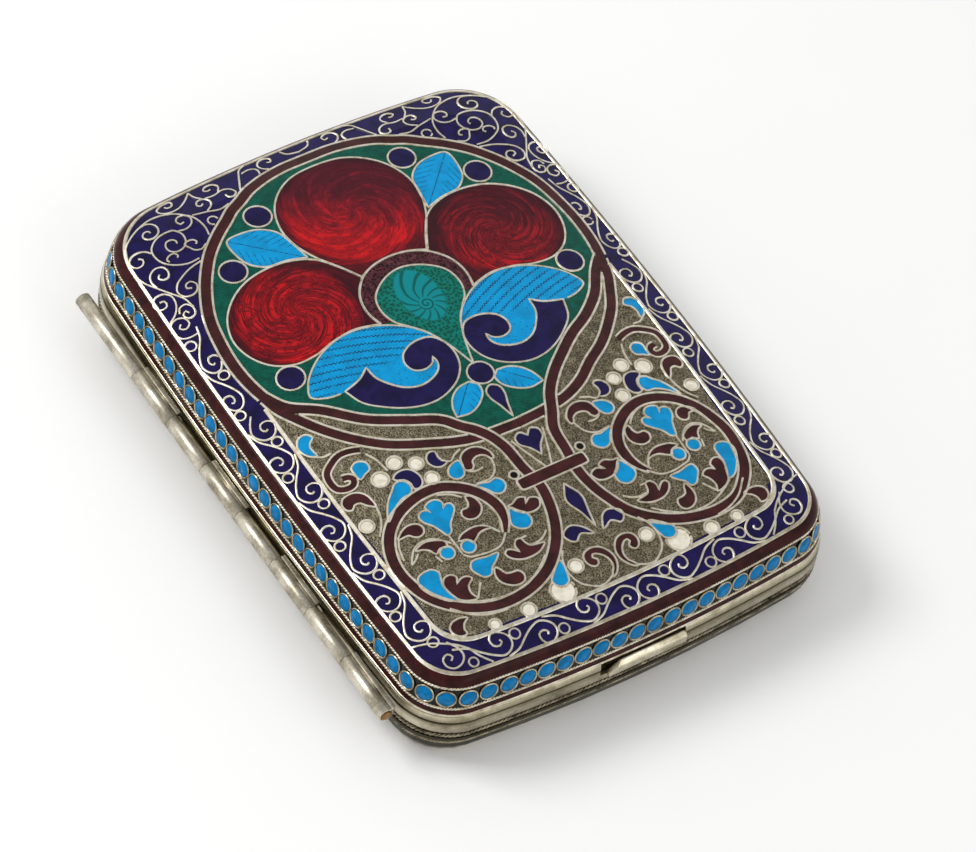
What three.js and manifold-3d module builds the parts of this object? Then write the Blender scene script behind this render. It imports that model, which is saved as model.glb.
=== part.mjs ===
// Enamel vanity case: a domed cloisonne lid and a shallow base on a long side hinge, with a push-piece catch,
// a mirror in the lid and a gilt tray in the base. Millimetres, +Z up, long side along Y, hinge on the -X side.
import * as THREE from "three";
import { mergeVertices } from "three/addons/utils/BufferGeometryUtils.js";
import Module from "manifold-3d";

const wasm = await Module();
wasm.setup();

// Plan of the case, measured across the middle of the pellet band
const CASE_WIDTH = 77;
const CASE_LENGTH = 105.3;
const SIDE_BOW = 1.1; // how far a long side swells between its corners
const END_BOW = 1.5;
const CORNER_RADIUS = 8.5;
const FIELD_CORNER_RADIUS = 5.5; // what the corners tighten to further in
const CORNER_FADE = 3; // inset over which they tighten
const BACK_CORNER_EASE = 3; // how much rounder the two corners at the back are

// Heights above the table
const BASE_DEPTH = 8.8; // to the parting plane
const PARTING_GAP = 0.3;
const LID_WALL = 6.9; // from the parting plane to where the wall turns into the shoulder
const SHOULDER_HEIGHT = BASE_DEPTH + LID_WALL;
const DOME_RISE = 2.9; // of the field's middle above its edge

// Section of the lid: leaning wall, round shoulder, sloping border, domed field
const WALL_TILT = THREE.MathUtils.degToRad(78);
const SHOULDER_INSET = 0.4;
const SHOULDER_RADIUS = 2.8;
const BORDER_SLOPE = THREE.MathUtils.degToRad(12);

// Layers, as depths below the crest of the wires
const ENAMEL_DEPTH = 0.15;
const TRIM_DEPTH = 0.5;
const SEAT_GAP = 0.3; // between the trim and the shell that it is fixed to
const SHELL_WALL = 0.8;
const SEAM = 0.1; // between neighbouring strips of trim

// Stations along the lid's section, measured from the start of the shoulder, inwards and upwards
const UPPER_TWIST = 0;
const PELLET_BAND = 4.0; // between the two twisted wires
const TWIST_WIDTH = 0.6;
const LOWER_STRIPE = 0.6;
const EDGE_WIRE = 0.35;
const MAROON_BAND = 1.8;
const FLAT_WIRE = 0.6;
const FIELD_WIRE_END = 6.6; // how far past the middle the field's wire runs, up to the medallion
const SCROLL_BAND = 3.9;

// Base trim, downwards from the parting plane
const BASE_RIM_BAND = 2.4;
const BASE_TWIST = 1.1;
const BASE_WIRE = 0.7;
const BASE_FOOT_RADIUS = 3.25;
const BASE_FLOOR = 1.5;
const UNDER_RECESS = 0.75;
const UNDER_PANEL = 0.35;

// Hinge
const HINGE_RADIUS = 1.3;
const HINGE_CLEARANCE = 0.2; // between its tube and the rims
const PIN_RADIUS = 0.9;
const PIN_CLEARANCE = 0.08;
const HINGE_SETBACKS = [8.05, 7.45]; // of its back and front ends from the ends of the case
const KNUCKLE_SHARES = [1.68, 1, 1, 1, 1, 1, 1, 1.12]; // of its length, from the back
const KNUCKLE_GAP = 0.15;
const LEAF_HEIGHT = 1.4;
const LEAF_THICKNESS = 0.35;
const PIN_PROUD = 0.2;

// Push-piece and catch
const PUSH_WIDTH = 14.2;
const PUSH_OFFSET = 0.2;
const PUSH_PROUD = 0.8; // in front of the rims
const PUSH_BACK = 0.07;
const PUSH_DROP = 0.85; // below the parting plane
const PUSH_RISE = 1.4; // above it
const PUSH_BOTTOM = BASE_DEPTH - PUSH_DROP;
const PUSH_TOP = BASE_DEPTH + PUSH_RISE;
const PUSH_CHAMFER = 0.65;
const PUSH_END_SLANT = [2.3, 1.5];
const PUSH_NOTCH_GAP = 0.35;
const NOTCH_LEFT_GAP = 1.0;
const STEM_WIDTH = 5;
const STEM_HEIGHT = 0.6;
const STEM_REACH = 2.0; // inset of its inner end
const CATCH_GAP = 0.3;
const SPRING_THICKNESS = 0.35;
const SPRING_LENGTH = 29;
const SPRING_HEIGHT = 1.5;
const NOSE_WIDTH = 7;
const NOSE_HEIGHT = 0.4;
const NOSE_RISE = 1.35; // above the parting plane
const NOSE_BOTTOM = BASE_DEPTH + NOSE_RISE;
const NOSE_REACH = 1.5; // inset of its tip
const KEEPER_WIDTH = 10;
const KEEPER_THICKNESS = 0.45;
const KEEPER_EDGE = 1.9; // inset of its free edge
const RIVET_MARGIN = 2; // from the spring's end
const RIVET_SPACING = SPRING_LENGTH - 2 * RIVET_MARGIN;
const RIVET_RADIUS = 0.5;
const RIVET_SPACER_RADIUS = 1.2;
const RIVET_HEAD = [1.0, 0.35];

// Mirror in the lid
const MIRROR_RISE = 2.2; // above the parting plane
const MIRROR_FRAME_BOTTOM = BASE_DEPTH + MIRROR_RISE;
const MIRROR_FRAME_THICKNESS = 0.6;
const MIRROR_FRAME_INSET = 1.5;
const MIRROR_WINDOW_INSET = 6.5;
const MIRROR_RIM = 0.5;
const MIRROR_RIM_HEIGHT = 1.3;
const MIRROR_INSET = 4.3;
const MIRROR_THICKNESS = 1.1;
const MIRROR_GAP = 0.1;

// Tray in the base
const TRAY_DROP = 0.7; // below the parting plane
const TRAY_TOP = BASE_DEPTH - TRAY_DROP;
const TRAY_SHEET = 0.5;
const TRAY_INSET = 0.95;
const POWDER_WELL = [43, 88, 6]; // width, length, corner radius
const LONG_WELL = [17, 88, 7];
const WELL_SPACING = 4.5;
const WELL_SHIFT = 2; // towards the hinge end, clear of the catch
const CATCH_BAY = [34, 4.2]; // width, inset

// Steps round a quarter of the outline
const SIDE_STEPS = 4;
const CORNER_STEPS = 6;
const END_STEPS = 3;
const QUARTER = SIDE_STEPS + CORNER_STEPS + END_STEPS;

// Colours and finishes
const SILVER = { color: 0xc9c3b4, roughness: 0.32, metalness: 0.95 };
const GILT = { color: 0xc9a25a, roughness: 0.3, metalness: 0.95 };
const BRASS = { color: 0xb08a4c, roughness: 0.35, metalness: 0.9 };
const MIRROR = { color: 0xe6eaec, roughness: 0.03, metalness: 1 };
const BLUE = { color: 0x2c2466, roughness: 0.25, metalness: 0 };
const MAROON = { color: 0x54262c, roughness: 0.25, metalness: 0 };
const TURQUOISE = { color: 0x1b86b8, roughness: 0.3, metalness: 0 };
const GROUND = { color: 0x736a58, roughness: 0.55, metalness: 0.6 };

// Outline of the case at an inset from the pellet band: bowed sides and ends joined by round corners
function quarterOutline(inset, ease) {
  const bowRadius = (half, bow) => (half * half + bow * bow) / (2 * bow);
  const sideRadius = bowRadius(CASE_LENGTH / 2 - CORNER_RADIUS, SIDE_BOW);
  const endRadius = bowRadius(CASE_WIDTH / 2 - CORNER_RADIUS, END_BOW);
  const side = new THREE.Vector2(CASE_WIDTH / 2 - sideRadius, 0);
  const end = new THREE.Vector2(0, CASE_LENGTH / 2 - endRadius);
  const tighten = Math.exp(-inset / CORNER_FADE);
  const radius = FIELD_CORNER_RADIUS + ease + (CORNER_RADIUS - FIELD_CORNER_RADIUS) * tighten;
  const fromSide = sideRadius - inset - radius;
  const fromEnd = endRadius - inset - radius;
  const apart = side.distanceTo(end);
  const along = (fromSide ** 2 - fromEnd ** 2 + apart ** 2) / (2 * apart);
  const across = Math.sqrt(fromSide ** 2 - along ** 2);
  const way = end.clone().sub(side).divideScalar(apart);
  const corner = new THREE.Vector2(
    side.x + way.x * along - way.y * across,
    side.y + way.y * along + way.x * across,
  );
  const leave = Math.atan2(corner.y - side.y, corner.x - side.x);
  const join = Math.atan2(corner.y - end.y, corner.x - end.x);
  const arc = (centre, size, angle) =>
    new THREE.Vector2(centre.x + size * Math.cos(angle), centre.y + size * Math.sin(angle));
  const points = [];
  for (let i = 0; i < SIDE_STEPS; i++) {
    points.push(arc(side, sideRadius - inset, (leave * i) / SIDE_STEPS));
  }
  for (let i = 0; i < CORNER_STEPS; i++) {
    points.push(arc(corner, radius, leave + ((join - leave) * i) / CORNER_STEPS));
  }
  for (let i = 0; i <= END_STEPS; i++) {
    points.push(arc(end, endRadius - inset, join + ((Math.PI / 2 - join) * i) / END_STEPS));
  }
  return points;
}

function outlinePoints(inset) {
  const back = quarterOutline(inset, BACK_CORNER_EASE);
  const front = quarterOutline(inset, 0);
  const points = [];
  for (let k = 0; k < 4 * QUARTER; k++) {
    const turn = Math.floor(k / QUARTER);
    const step = k % QUARTER;
    const p = (turn > 1 ? front : back)[turn % 2 ? QUARTER - step : step];
    points.push(new THREE.Vector2(turn === 1 || turn === 2 ? -p.x : p.x, turn > 1 ? -p.y : p.y));
  }
  return points;
}

const outlineShape = (inset) => new THREE.Shape(outlinePoints(inset));

// The lid's section: [inset, height] at a station, some depth below the crest
const SHOULDER_LENGTH = SHOULDER_RADIUS * (WALL_TILT - BORDER_SLOPE);
const SHOULDER_CENTRE = [
  SHOULDER_INSET + SHOULDER_RADIUS * Math.sin(WALL_TILT),
  SHOULDER_HEIGHT - SHOULDER_RADIUS * Math.cos(WALL_TILT),
];

function lidSection(station, depth) {
  const turned = THREE.MathUtils.clamp(station, 0, SHOULDER_LENGTH);
  const slope = WALL_TILT - turned / SHOULDER_RADIUS;
  const straight = station - turned;
  const radius = SHOULDER_RADIUS - depth;
  return [
    SHOULDER_CENTRE[0] - radius * Math.sin(slope) + straight * Math.cos(slope),
    SHOULDER_CENTRE[1] + radius * Math.cos(slope) + straight * Math.sin(slope),
  ];
}

const stationAtHeight = (height) => (height - SHOULDER_HEIGHT) / Math.sin(WALL_TILT);
const wallInset = (height, depth) => {
  const station = (height - lidSection(0, depth)[1]) / Math.sin(WALL_TILT);
  return lidSection(station, depth)[0];
};

// Stations of the strips of trim
const LOWER_TWIST = UPPER_TWIST - PELLET_BAND;
const STRIPE_TOP = LOWER_TWIST - TWIST_WIDTH / 2 - SEAM;
const STRIPE_BOTTOM = STRIPE_TOP - LOWER_STRIPE;
const EDGE_WIRE_TOP = STRIPE_BOTTOM - SEAM;
const EDGE_WIRE_BOTTOM = EDGE_WIRE_TOP - EDGE_WIRE;
const MAROON_BOTTOM = UPPER_TWIST + TWIST_WIDTH / 2 + SEAM;
const MAROON_TOP = MAROON_BOTTOM + MAROON_BAND;
const SHOULDER_WIRE_BOTTOM = MAROON_TOP + SEAM;
const SHOULDER_WIRE_TOP = SHOULDER_WIRE_BOTTOM + FLAT_WIRE;
const SCROLL_BOTTOM = SHOULDER_WIRE_TOP + SEAM;
const SCROLL_TOP = SCROLL_BOTTOM + SCROLL_BAND;
const FIELD_WIRE_BOTTOM = SCROLL_TOP + SEAM;
const FIELD_WIRE_TOP = FIELD_WIRE_BOTTOM + FLAT_WIRE;
const FIELD_EDGE = FIELD_WIRE_TOP + SEAM;
const FIELD_INSET = lidSection(FIELD_EDGE, 0)[0];
const FIELD_RADIUS = CASE_WIDTH / 2 - FIELD_INSET;
const FIELD_HALF_LENGTH = CASE_LENGTH / 2 - FIELD_INSET;
const SHELL_DEPTH = TRIM_DEPTH + SEAT_GAP;
const INNER_DEPTH = SHELL_DEPTH + SHELL_WALL;
const RIM_INSET = wallInset(BASE_DEPTH, 0);
const LID_BOTTOM = BASE_DEPTH + PARTING_GAP / 2;
const BASE_TOP = BASE_DEPTH - PARTING_GAP / 2;

function solidOf(geometry) {
  const bare = geometry.clone();
  bare.deleteAttribute("normal");
  bare.deleteAttribute("uv");
  const merged = mergeVertices(bare, 1e-4);
  return new wasm.Manifold(
    new wasm.Mesh({
      numProp: 3,
      vertProperties: merged.attributes.position.array,
      triVerts: new Uint32Array(merged.index.array),
    }),
  );
}

function geometryOf(solid) {
  const mesh = solid.getMesh();
  const geometry = new THREE.BufferGeometry();
  geometry.setAttribute("position", new THREE.BufferAttribute(mesh.vertProperties.slice(), 3));
  geometry.setIndex(new THREE.BufferAttribute(mesh.triVerts.slice(), 1));
  return geometry;
}

// A section of [inset, height] points carried round the outline. Inside the field it shrinks to the middle
// and takes the dome's rise. An open section starts and ends at the middle, where inset is half the width.
function carriedRound(section, dome = 0) {
  const points = section.map(([inset, height]) => new THREE.Vector2(CASE_WIDTH / 2 - inset, height));
  if (points[0].x > 0) points.push(points[0].clone());
  const area = THREE.ShapeUtils.area(points);
  if (area < 0) points.reverse();
  const geometry = new THREE.LatheGeometry(points, 4 * QUARTER);
  const position = geometry.getAttribute("position");
  const outlines = new Map();
  for (let i = 0; i < position.count; i++) {
    const reach = Math.hypot(position.getX(i), position.getZ(i));
    const angle = Math.atan2(position.getX(i), position.getZ(i));
    const step = Math.round((angle / (2 * Math.PI)) * 4 * QUARTER + 4 * QUARTER) % (4 * QUARTER);
    const inset = Math.min(CASE_WIDTH / 2 - reach, FIELD_INSET);
    const key = inset.toFixed(4);
    if (!outlines.has(key)) outlines.set(key, outlinePoints(inset));
    const share = Math.min(1, reach / FIELD_RADIUS);
    const p = outlines.get(key)[step].clone().multiplyScalar(share);
    const u = Math.min(1, Math.abs(p.x) / FIELD_RADIUS);
    const v = Math.min(1, Math.abs(p.y) / FIELD_HALF_LENGTH);
    const rise = share < 1 ? dome * (1 - u * u) * (1 - v * v) : 0;
    position.setXYZ(i, p.x, p.y, position.getY(i) + rise);
  }
  return geometry;
}

// Insets from the field's edge to the middle
function fieldInsets(first) {
  const shares = [0.8, 0.6, 0.4, 0.2, 0];
  return [first, ...shares.map((share) => CASE_WIDTH / 2 - FIELD_RADIUS * share)];
}

const stations = (from, to, count) =>
  Array.from({ length: count + 1 }, (_, i) => from + ((to - from) * i) / count);

// A strip of trim on the lid between two stations
function lidStrip(from, to, top, bottom, count = 1) {
  return [
    ...stations(from, to, count).map((s) => lidSection(s, top)),
    ...stations(to, from, count).map((s) => lidSection(s, bottom)),
  ];
}

// A round wire on the lid, its crest at depth 0
function lidWire(station, width) {
  return stations(0, 2 * Math.PI, 8)
    .slice(0, -1)
    .map((a) => {
      const [inset, height] = lidSection(station, width / 2);
      return [inset + (width / 2) * Math.cos(a), height + (width / 2) * Math.sin(a)];
    });
}

function baseWire(height, width) {
  return stations(0, 2 * Math.PI, 8)
    .slice(0, -1)
    .map((a) => [
      RIM_INSET + (width / 2) * (1 + Math.cos(a)),
      height + (width / 2) * Math.sin(a),
    ]);
}

// Blocks and prisms
function block(x0, x1, y0, y1, z0, z1) {
  const geometry = new THREE.BoxGeometry(x1 - x0, y1 - y0, z1 - z0);
  return geometry.translate((x0 + x1) / 2, (y0 + y1) / 2, (z0 + z1) / 2);
}

function prism(shape, z0, z1) {
  const geometry = new THREE.ExtrudeGeometry(shape, {
    depth: z1 - z0,
    bevelEnabled: false,
    curveSegments: 8,
  });
  return geometry.translate(0, 0, z0);
}

function roundedRectangle(width, length, radius, x, y) {
  const shape = new THREE.Shape();
  const corners = [
    [x + width / 2 - radius, y + length / 2 - radius, 0],
    [x - width / 2 + radius, y + length / 2 - radius, 1],
    [x - width / 2 + radius, y - length / 2 + radius, 2],
    [x + width / 2 - radius, y - length / 2 + radius, 3],
  ];
  for (const [cx, cy, turn] of corners) {
    shape.absarc(cx, cy, radius, (turn * Math.PI) / 2, ((turn + 1) * Math.PI) / 2, false);
  }
  return shape;
}

const frontY = (inset) => -(CASE_LENGTH / 2 - inset);

const part = new THREE.Group();

function add(name, geometry, finish) {
  const mesh = new THREE.Mesh(geometry, new THREE.MeshStandardMaterial(finish));
  mesh.name = name;
  part.add(mesh);
}

// Lid: the silver shell
function lidShell() {
  const bottom = LID_BOTTOM + TRIM_DEPTH;
  const skin = (depth) => {
    const foot = [wallInset(bottom, depth), bottom];
    const bend = stations(0, SHOULDER_LENGTH, 4).map((s) => lidSection(s, depth));
    const edge = lidSection(FIELD_EDGE, depth);
    const field = fieldInsets(FIELD_INSET).map((inset) => [inset, edge[1]]);
    return [foot, ...bend, ...field];
  };
  return carriedRound([...skin(SHELL_DEPTH).reverse(), ...skin(INNER_DEPTH)], DOME_RISE);
}

// Lid: enamel fields and the wires between them
function fieldEnamel() {
  const top = lidSection(FIELD_EDGE, ENAMEL_DEPTH)[1];
  const bottom = lidSection(FIELD_EDGE, TRIM_DEPTH)[1];
  const insets = fieldInsets(FIELD_INSET);
  return carriedRound(
    [...insets.map((inset) => [inset, top]).reverse(), ...insets.map((inset) => [inset, bottom])],
    DOME_RISE,
  );
}

function lidRim() {
  const top = EDGE_WIRE_BOTTOM - SEAM;
  const bottom = stationAtHeight(LID_BOTTOM);
  const outer = [lidSection(top, 0), lidSection(bottom, 0)];
  const lip = [wallInset(LID_BOTTOM, INNER_DEPTH), LID_BOTTOM];
  const lipTop = [wallInset(LID_BOTTOM, INNER_DEPTH), LID_BOTTOM + TRIM_DEPTH - SEAT_GAP];
  const inner = [wallInset(lipTop[1], TRIM_DEPTH), lipTop[1]];
  const ring = carriedRound([...outer, lip, lipTop, inner, lidSection(top, TRIM_DEPTH)]);
  return geometryOf(solidOf(ring).subtract(solidOf(pushNotch(LID_BOTTOM - 1, SHOULDER_HEIGHT))));
}

// The field's wire is open at the back, where the medallion closes the field
function fieldWire() {
  const ring = carriedRound(lidStrip(FIELD_WIRE_BOTTOM, FIELD_WIRE_TOP, 0, TRIM_DEPTH));
  const half = CASE_WIDTH / 2;
  const open = block(-half, half, FIELD_WIRE_END, CASE_LENGTH, BASE_DEPTH, 2 * SHOULDER_HEIGHT);
  return geometryOf(solidOf(ring).subtract(solidOf(open)));
}

// Clearance for the push-piece, cut into both rims
function pushNotch(bottom, top) {
  return block(
    PUSH_OFFSET - PUSH_WIDTH / 2 - NOTCH_LEFT_GAP,
    PUSH_OFFSET + PUSH_WIDTH / 2 + PUSH_NOTCH_GAP,
    frontY(RIM_INSET) - 1,
    frontY(RIM_INSET + SHELL_DEPTH),
    bottom,
    top,
  );
}

const lidTrim = [
  ["lid_scroll_border", lidStrip(SCROLL_BOTTOM, SCROLL_TOP, ENAMEL_DEPTH, TRIM_DEPTH, 2), BLUE],
  ["lid_maroon_band", lidStrip(MAROON_BOTTOM, MAROON_TOP, ENAMEL_DEPTH, TRIM_DEPTH, 2), MAROON],
  [
    "lid_pellet_band",
    lidStrip(
      LOWER_TWIST + TWIST_WIDTH / 2 + SEAM,
      UPPER_TWIST - TWIST_WIDTH / 2 - SEAM,
      ENAMEL_DEPTH,
      TRIM_DEPTH,
    ),
    TURQUOISE,
  ],
  ["lid_lower_stripe", lidStrip(STRIPE_BOTTOM, STRIPE_TOP, ENAMEL_DEPTH, TRIM_DEPTH), MAROON],
  ["lid_shoulder_wire", lidStrip(SHOULDER_WIRE_BOTTOM, SHOULDER_WIRE_TOP, 0, TRIM_DEPTH), SILVER],
  ["lid_upper_twisted_wire", lidWire(UPPER_TWIST, TWIST_WIDTH), SILVER],
  ["lid_lower_twisted_wire", lidWire(LOWER_TWIST, TWIST_WIDTH), SILVER],
  ["lid_edge_wire", lidStrip(EDGE_WIRE_BOTTOM, EDGE_WIRE_TOP, 0, TRIM_DEPTH), SILVER],
];

add("lid_shell", lidShell(), SILVER);
add("lid_field_enamel", fieldEnamel(), GROUND);
for (const [name, section, finish] of lidTrim) add(name, carriedRound(section), finish);
add("lid_rim", lidRim(), SILVER);
add("lid_field_wire", fieldWire(), SILVER);

// Base: the shell with its rounded foot, flat rest and a shallow recess underneath
const BAND_BOTTOM = BASE_TOP - BASE_RIM_BAND;
const BASE_WALL_INSET = RIM_INSET + SHELL_DEPTH;
const BASE_INNER_INSET = BASE_WALL_INSET + SHELL_WALL;
const UPPER_BASE_TWIST = BAND_BOTTOM - SEAM - BASE_TWIST / 2;
const BASE_WIRE_TOP = UPPER_BASE_TWIST - BASE_TWIST / 2;
const BASE_WIRE_BOTTOM = BASE_WIRE_TOP - BASE_WIRE;
const LOWER_BASE_TWIST = BASE_WIRE_BOTTOM - SEAM - TWIST_WIDTH / 2;
const FOOT_TOP = LOWER_BASE_TWIST - TWIST_WIDTH / 2 - SEAM;

function baseShell() {
  const wallTop = BASE_TOP - TRIM_DEPTH;
  const footCentre = RIM_INSET + TRIM_DEPTH / 2 + BASE_FOOT_RADIUS;
  const footSlope = FOOT_TOP / BASE_FOOT_RADIUS;
  const foot = stations(0, Math.PI / 2, 5).map((a) => [
    footCentre - BASE_FOOT_RADIUS * Math.cos(a),
    FOOT_TOP * (1 - Math.sin(a)),
  ]);
  const innerRadius = BASE_FOOT_RADIUS - SHELL_WALL;
  const inner = stations(Math.PI / 2, 0, 3).map((a) => [
    BASE_INNER_INSET + innerRadius * (1 - Math.cos(a)),
    BASE_FLOOR + innerRadius * footSlope * (1 - Math.sin(a)),
  ]);
  const middle = CASE_WIDTH / 2;
  const recessInset = FIELD_INSET - SEAT_GAP;
  const body = carriedRound([
    [middle, UNDER_RECESS],
    [recessInset, UNDER_RECESS],
    [recessInset, 0],
    ...foot.reverse(),
    [BASE_WALL_INSET, FOOT_TOP],
    [BASE_WALL_INSET, wallTop],
    [BASE_INNER_INSET, wallTop],
    ...inner.reverse(),
    [middle, BASE_FLOOR],
  ]);
  return geometryOf(solidOf(body).subtract(solidOf(stemSlot())));
}

// The slot that the push-piece's stem slides in, open at the top
function stemSlot() {
  const half = STEM_WIDTH / 2 + CATCH_GAP;
  return block(
    -half,
    half,
    frontY(RIM_INSET) - 1,
    frontY(STEM_REACH),
    PUSH_BOTTOM - CATCH_GAP,
    BASE_DEPTH + 1,
  );
}

function baseRim() {
  const lipBottom = BASE_TOP - TRIM_DEPTH + SEAT_GAP;
  const ring = carriedRound([
    [RIM_INSET, BAND_BOTTOM],
    [RIM_INSET, BASE_TOP],
    [BASE_INNER_INSET, BASE_TOP],
    [BASE_INNER_INSET, lipBottom],
    [RIM_INSET + TRIM_DEPTH, lipBottom],
    [RIM_INSET + TRIM_DEPTH, BAND_BOTTOM],
  ]);
  const notch = pushNotch(PUSH_BOTTOM - SEAM, BASE_DEPTH + 1);
  return geometryOf(solidOf(ring).subtract(solidOf(notch)).subtract(solidOf(stemSlot())));
}

add("base_shell", baseShell(), SILVER);
add("base_rim", baseRim(), SILVER);
add("base_upper_twisted_wire", carriedRound(baseWire(UPPER_BASE_TWIST, TWIST_WIDTH)), SILVER);
add(
  "base_plain_wire",
  carriedRound([
    [RIM_INSET, BASE_WIRE_BOTTOM],
    [RIM_INSET, BASE_WIRE_TOP],
    [RIM_INSET + TRIM_DEPTH, BASE_WIRE_TOP],
    [RIM_INSET + TRIM_DEPTH, BASE_WIRE_BOTTOM],
  ]),
  SILVER,
);
add("base_lower_twisted_wire", carriedRound(baseWire(LOWER_BASE_TWIST, TWIST_WIDTH)), SILVER);
add(
  "base_under_panel",
  prism(outlineShape(FIELD_INSET), UNDER_RECESS - SEAT_GAP - UNDER_PANEL, UNDER_RECESS - SEAT_GAP),
  GROUND,
);

// Hinge: rolled knuckles whose leaves are fitted to the rims, on one pin
const HINGE_X = -(CASE_WIDTH / 2 - RIM_INSET + HINGE_CLEARANCE + HINGE_RADIUS);

function alongY(shape, from, to) {
  const geometry = prism(shape, 0, to - from);
  return geometry.rotateX(Math.PI / 2).translate(0, to, 0);
}

// Section of a knuckle in X and Z: a tube whose leaf rises (side 1) or falls (side -1) to its rim
function knuckleShape(side) {
  const leafOuter = HINGE_X + HINGE_RADIUS + HINGE_CLEARANCE - SEAT_GAP - LEAF_THICKNESS;
  const leafInner = -CASE_WIDTH / 2 + CORNER_RADIUS / 2;
  const shape = new THREE.Shape();
  const start = (side * Math.PI) / 10;
  const finish = (side * Math.PI) / 2.4;
  shape.absarc(HINGE_X, BASE_DEPTH, HINGE_RADIUS, finish, start, side < 0);
  shape.lineTo(leafInner, BASE_DEPTH + side * HINGE_RADIUS * Math.sin(Math.PI / 10));
  shape.lineTo(leafInner, BASE_DEPTH + side * LEAF_HEIGHT);
  shape.lineTo(leafOuter, BASE_DEPTH + side * LEAF_HEIGHT);
  const bore = new THREE.Path();
  bore.absarc(HINGE_X, BASE_DEPTH, PIN_RADIUS + PIN_CLEARANCE, 0, 2 * Math.PI, side > 0);
  shape.holes.push(bore);
  return shape;
}

const rimBlock = solidOf(prism(outlineShape(RIM_INSET - SEAT_GAP), 0, SHOULDER_HEIGHT));
const hingeBack = CASE_LENGTH / 2 - HINGE_SETBACKS[0];
const hingeLength = CASE_LENGTH - HINGE_SETBACKS[0] - HINGE_SETBACKS[1];
const knuckleShare = hingeLength / KNUCKLE_SHARES.reduce((sum, share) => sum + share, 0);
let hingeY = hingeBack;
KNUCKLE_SHARES.forEach((share, i) => {
  const length = share * knuckleShare;
  const onLid = i % 2 === 1;
  const shape = knuckleShape(onLid ? 1 : -1);
  const tube = alongY(shape, hingeY - length + KNUCKLE_GAP / 2, hingeY - KNUCKLE_GAP / 2);
  const name = (onLid ? "lid" : "base") + "_hinge_knuckle_" + (Math.floor(i / 2) + 1);
  add(name, geometryOf(solidOf(tube).subtract(rimBlock)), SILVER);
  hingeY -= length;
});

const pin = new THREE.CylinderGeometry(PIN_RADIUS, PIN_RADIUS, hingeLength + PIN_PROUD, 24);
add("hinge_pin", pin.translate(HINGE_X, (hingeBack + hingeY - PIN_PROUD) / 2, BASE_DEPTH), BRASS);

// Push-piece: a slanted plate in front of the rims, on a stem that runs in the base
function pushPiece() {
  const left = PUSH_OFFSET - PUSH_WIDTH / 2;
  const right = PUSH_OFFSET + PUSH_WIDTH / 2;
  const [slantX, slantZ] = PUSH_END_SLANT;
  const face = new THREE.Shape();
  face.moveTo(left, PUSH_BOTTOM);
  face.lineTo(right, PUSH_BOTTOM);
  face.lineTo(right, PUSH_TOP - PUSH_CHAMFER / 2);
  face.lineTo(right - PUSH_CHAMFER / 2, PUSH_TOP);
  face.lineTo(left + slantX, PUSH_TOP);
  face.lineTo(left, PUSH_TOP - slantZ);
  const front = frontY(RIM_INSET - PUSH_PROUD);
  const back = frontY(RIM_INSET + PUSH_BACK);
  const plate = alongY(face, front, back);
  const stem = block(
    -STEM_WIDTH / 2,
    STEM_WIDTH / 2,
    (front + back) / 2,
    frontY(STEM_REACH),
    PUSH_BOTTOM,
    PUSH_BOTTOM + STEM_HEIGHT,
  );
  const chamfer = new THREE.Shape();
  chamfer.moveTo(-front + 1, PUSH_TOP - PUSH_CHAMFER - 1);
  chamfer.lineTo(-front + 1, PUSH_TOP + 1);
  chamfer.lineTo(-front - PUSH_CHAMFER - 1, PUSH_TOP + 1);
  const wedge = prism(chamfer, left - 1, right + 1);
  wedge.rotateX(Math.PI / 2).rotateZ(-Math.PI / 2);
  return geometryOf(solidOf(plate).add(solidOf(stem)).subtract(solidOf(wedge)));
}

// Catch: a leaf spring riveted inside the front wall, with a nose that hooks over the lid's keeper
const springY = frontY(STEM_REACH + SEAM);
const springTop = PUSH_BOTTOM + STEM_HEIGHT;

function catchSpring() {
  const half = NOSE_WIDTH / 2;
  const back = springY + SPRING_THICKNESS;
  const noseTop = NOSE_BOTTOM + NOSE_HEIGHT;
  const strip = block(
    -SPRING_LENGTH / 2,
    SPRING_LENGTH / 2,
    springY,
    back,
    springTop - SPRING_HEIGHT,
    springTop,
  );
  const riser = block(-half, half, springY, back, springTop - SPRING_HEIGHT, noseTop);
  const nose = block(-half, half, frontY(NOSE_REACH), back, NOSE_BOTTOM, noseTop);
  let spring = solidOf(strip).add(solidOf(riser)).add(solidOf(nose));
  for (const side of [-1, 1]) {
    spring = spring.subtract(solidOf(rivetShank(side, RIVET_RADIUS + SEAM, springY - 1, back + 1)));
  }
  return geometryOf(spring);
}

function rivetShank(side, radius, from, to) {
  const rod = new THREE.CylinderGeometry(radius, radius, to - from, 12);
  const height = springTop - SPRING_HEIGHT / 2;
  return rod.translate((side * RIVET_SPACING) / 2, (from + to) / 2, height);
}

function springRivet(side) {
  const back = springY + SPRING_THICKNESS + SEAM;
  const bow = END_BOW * (RIVET_SPACING / (CASE_WIDTH - 2 * CORNER_RADIUS)) ** 2;
  const seat = frontY(BASE_INNER_INSET + SEAT_GAP + bow);
  return solidOf(rivetShank(side, RIVET_SPACER_RADIUS, seat, springY - SEAM))
    .add(solidOf(rivetShank(side, RIVET_RADIUS, seat, back + RIVET_HEAD[1])))
    .add(solidOf(rivetShank(side, RIVET_HEAD[0], back, back + RIVET_HEAD[1])));
}

function keeper() {
  const top = NOSE_BOTTOM - CATCH_GAP;
  const bottom = top - KEEPER_THICKNESS;
  const half = KEEPER_WIDTH / 2;
  const seat = frontY(wallInset(top, INNER_DEPTH) + SEAT_GAP);
  return block(-half, half, seat, frontY(KEEPER_EDGE), bottom, top);
}

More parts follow.
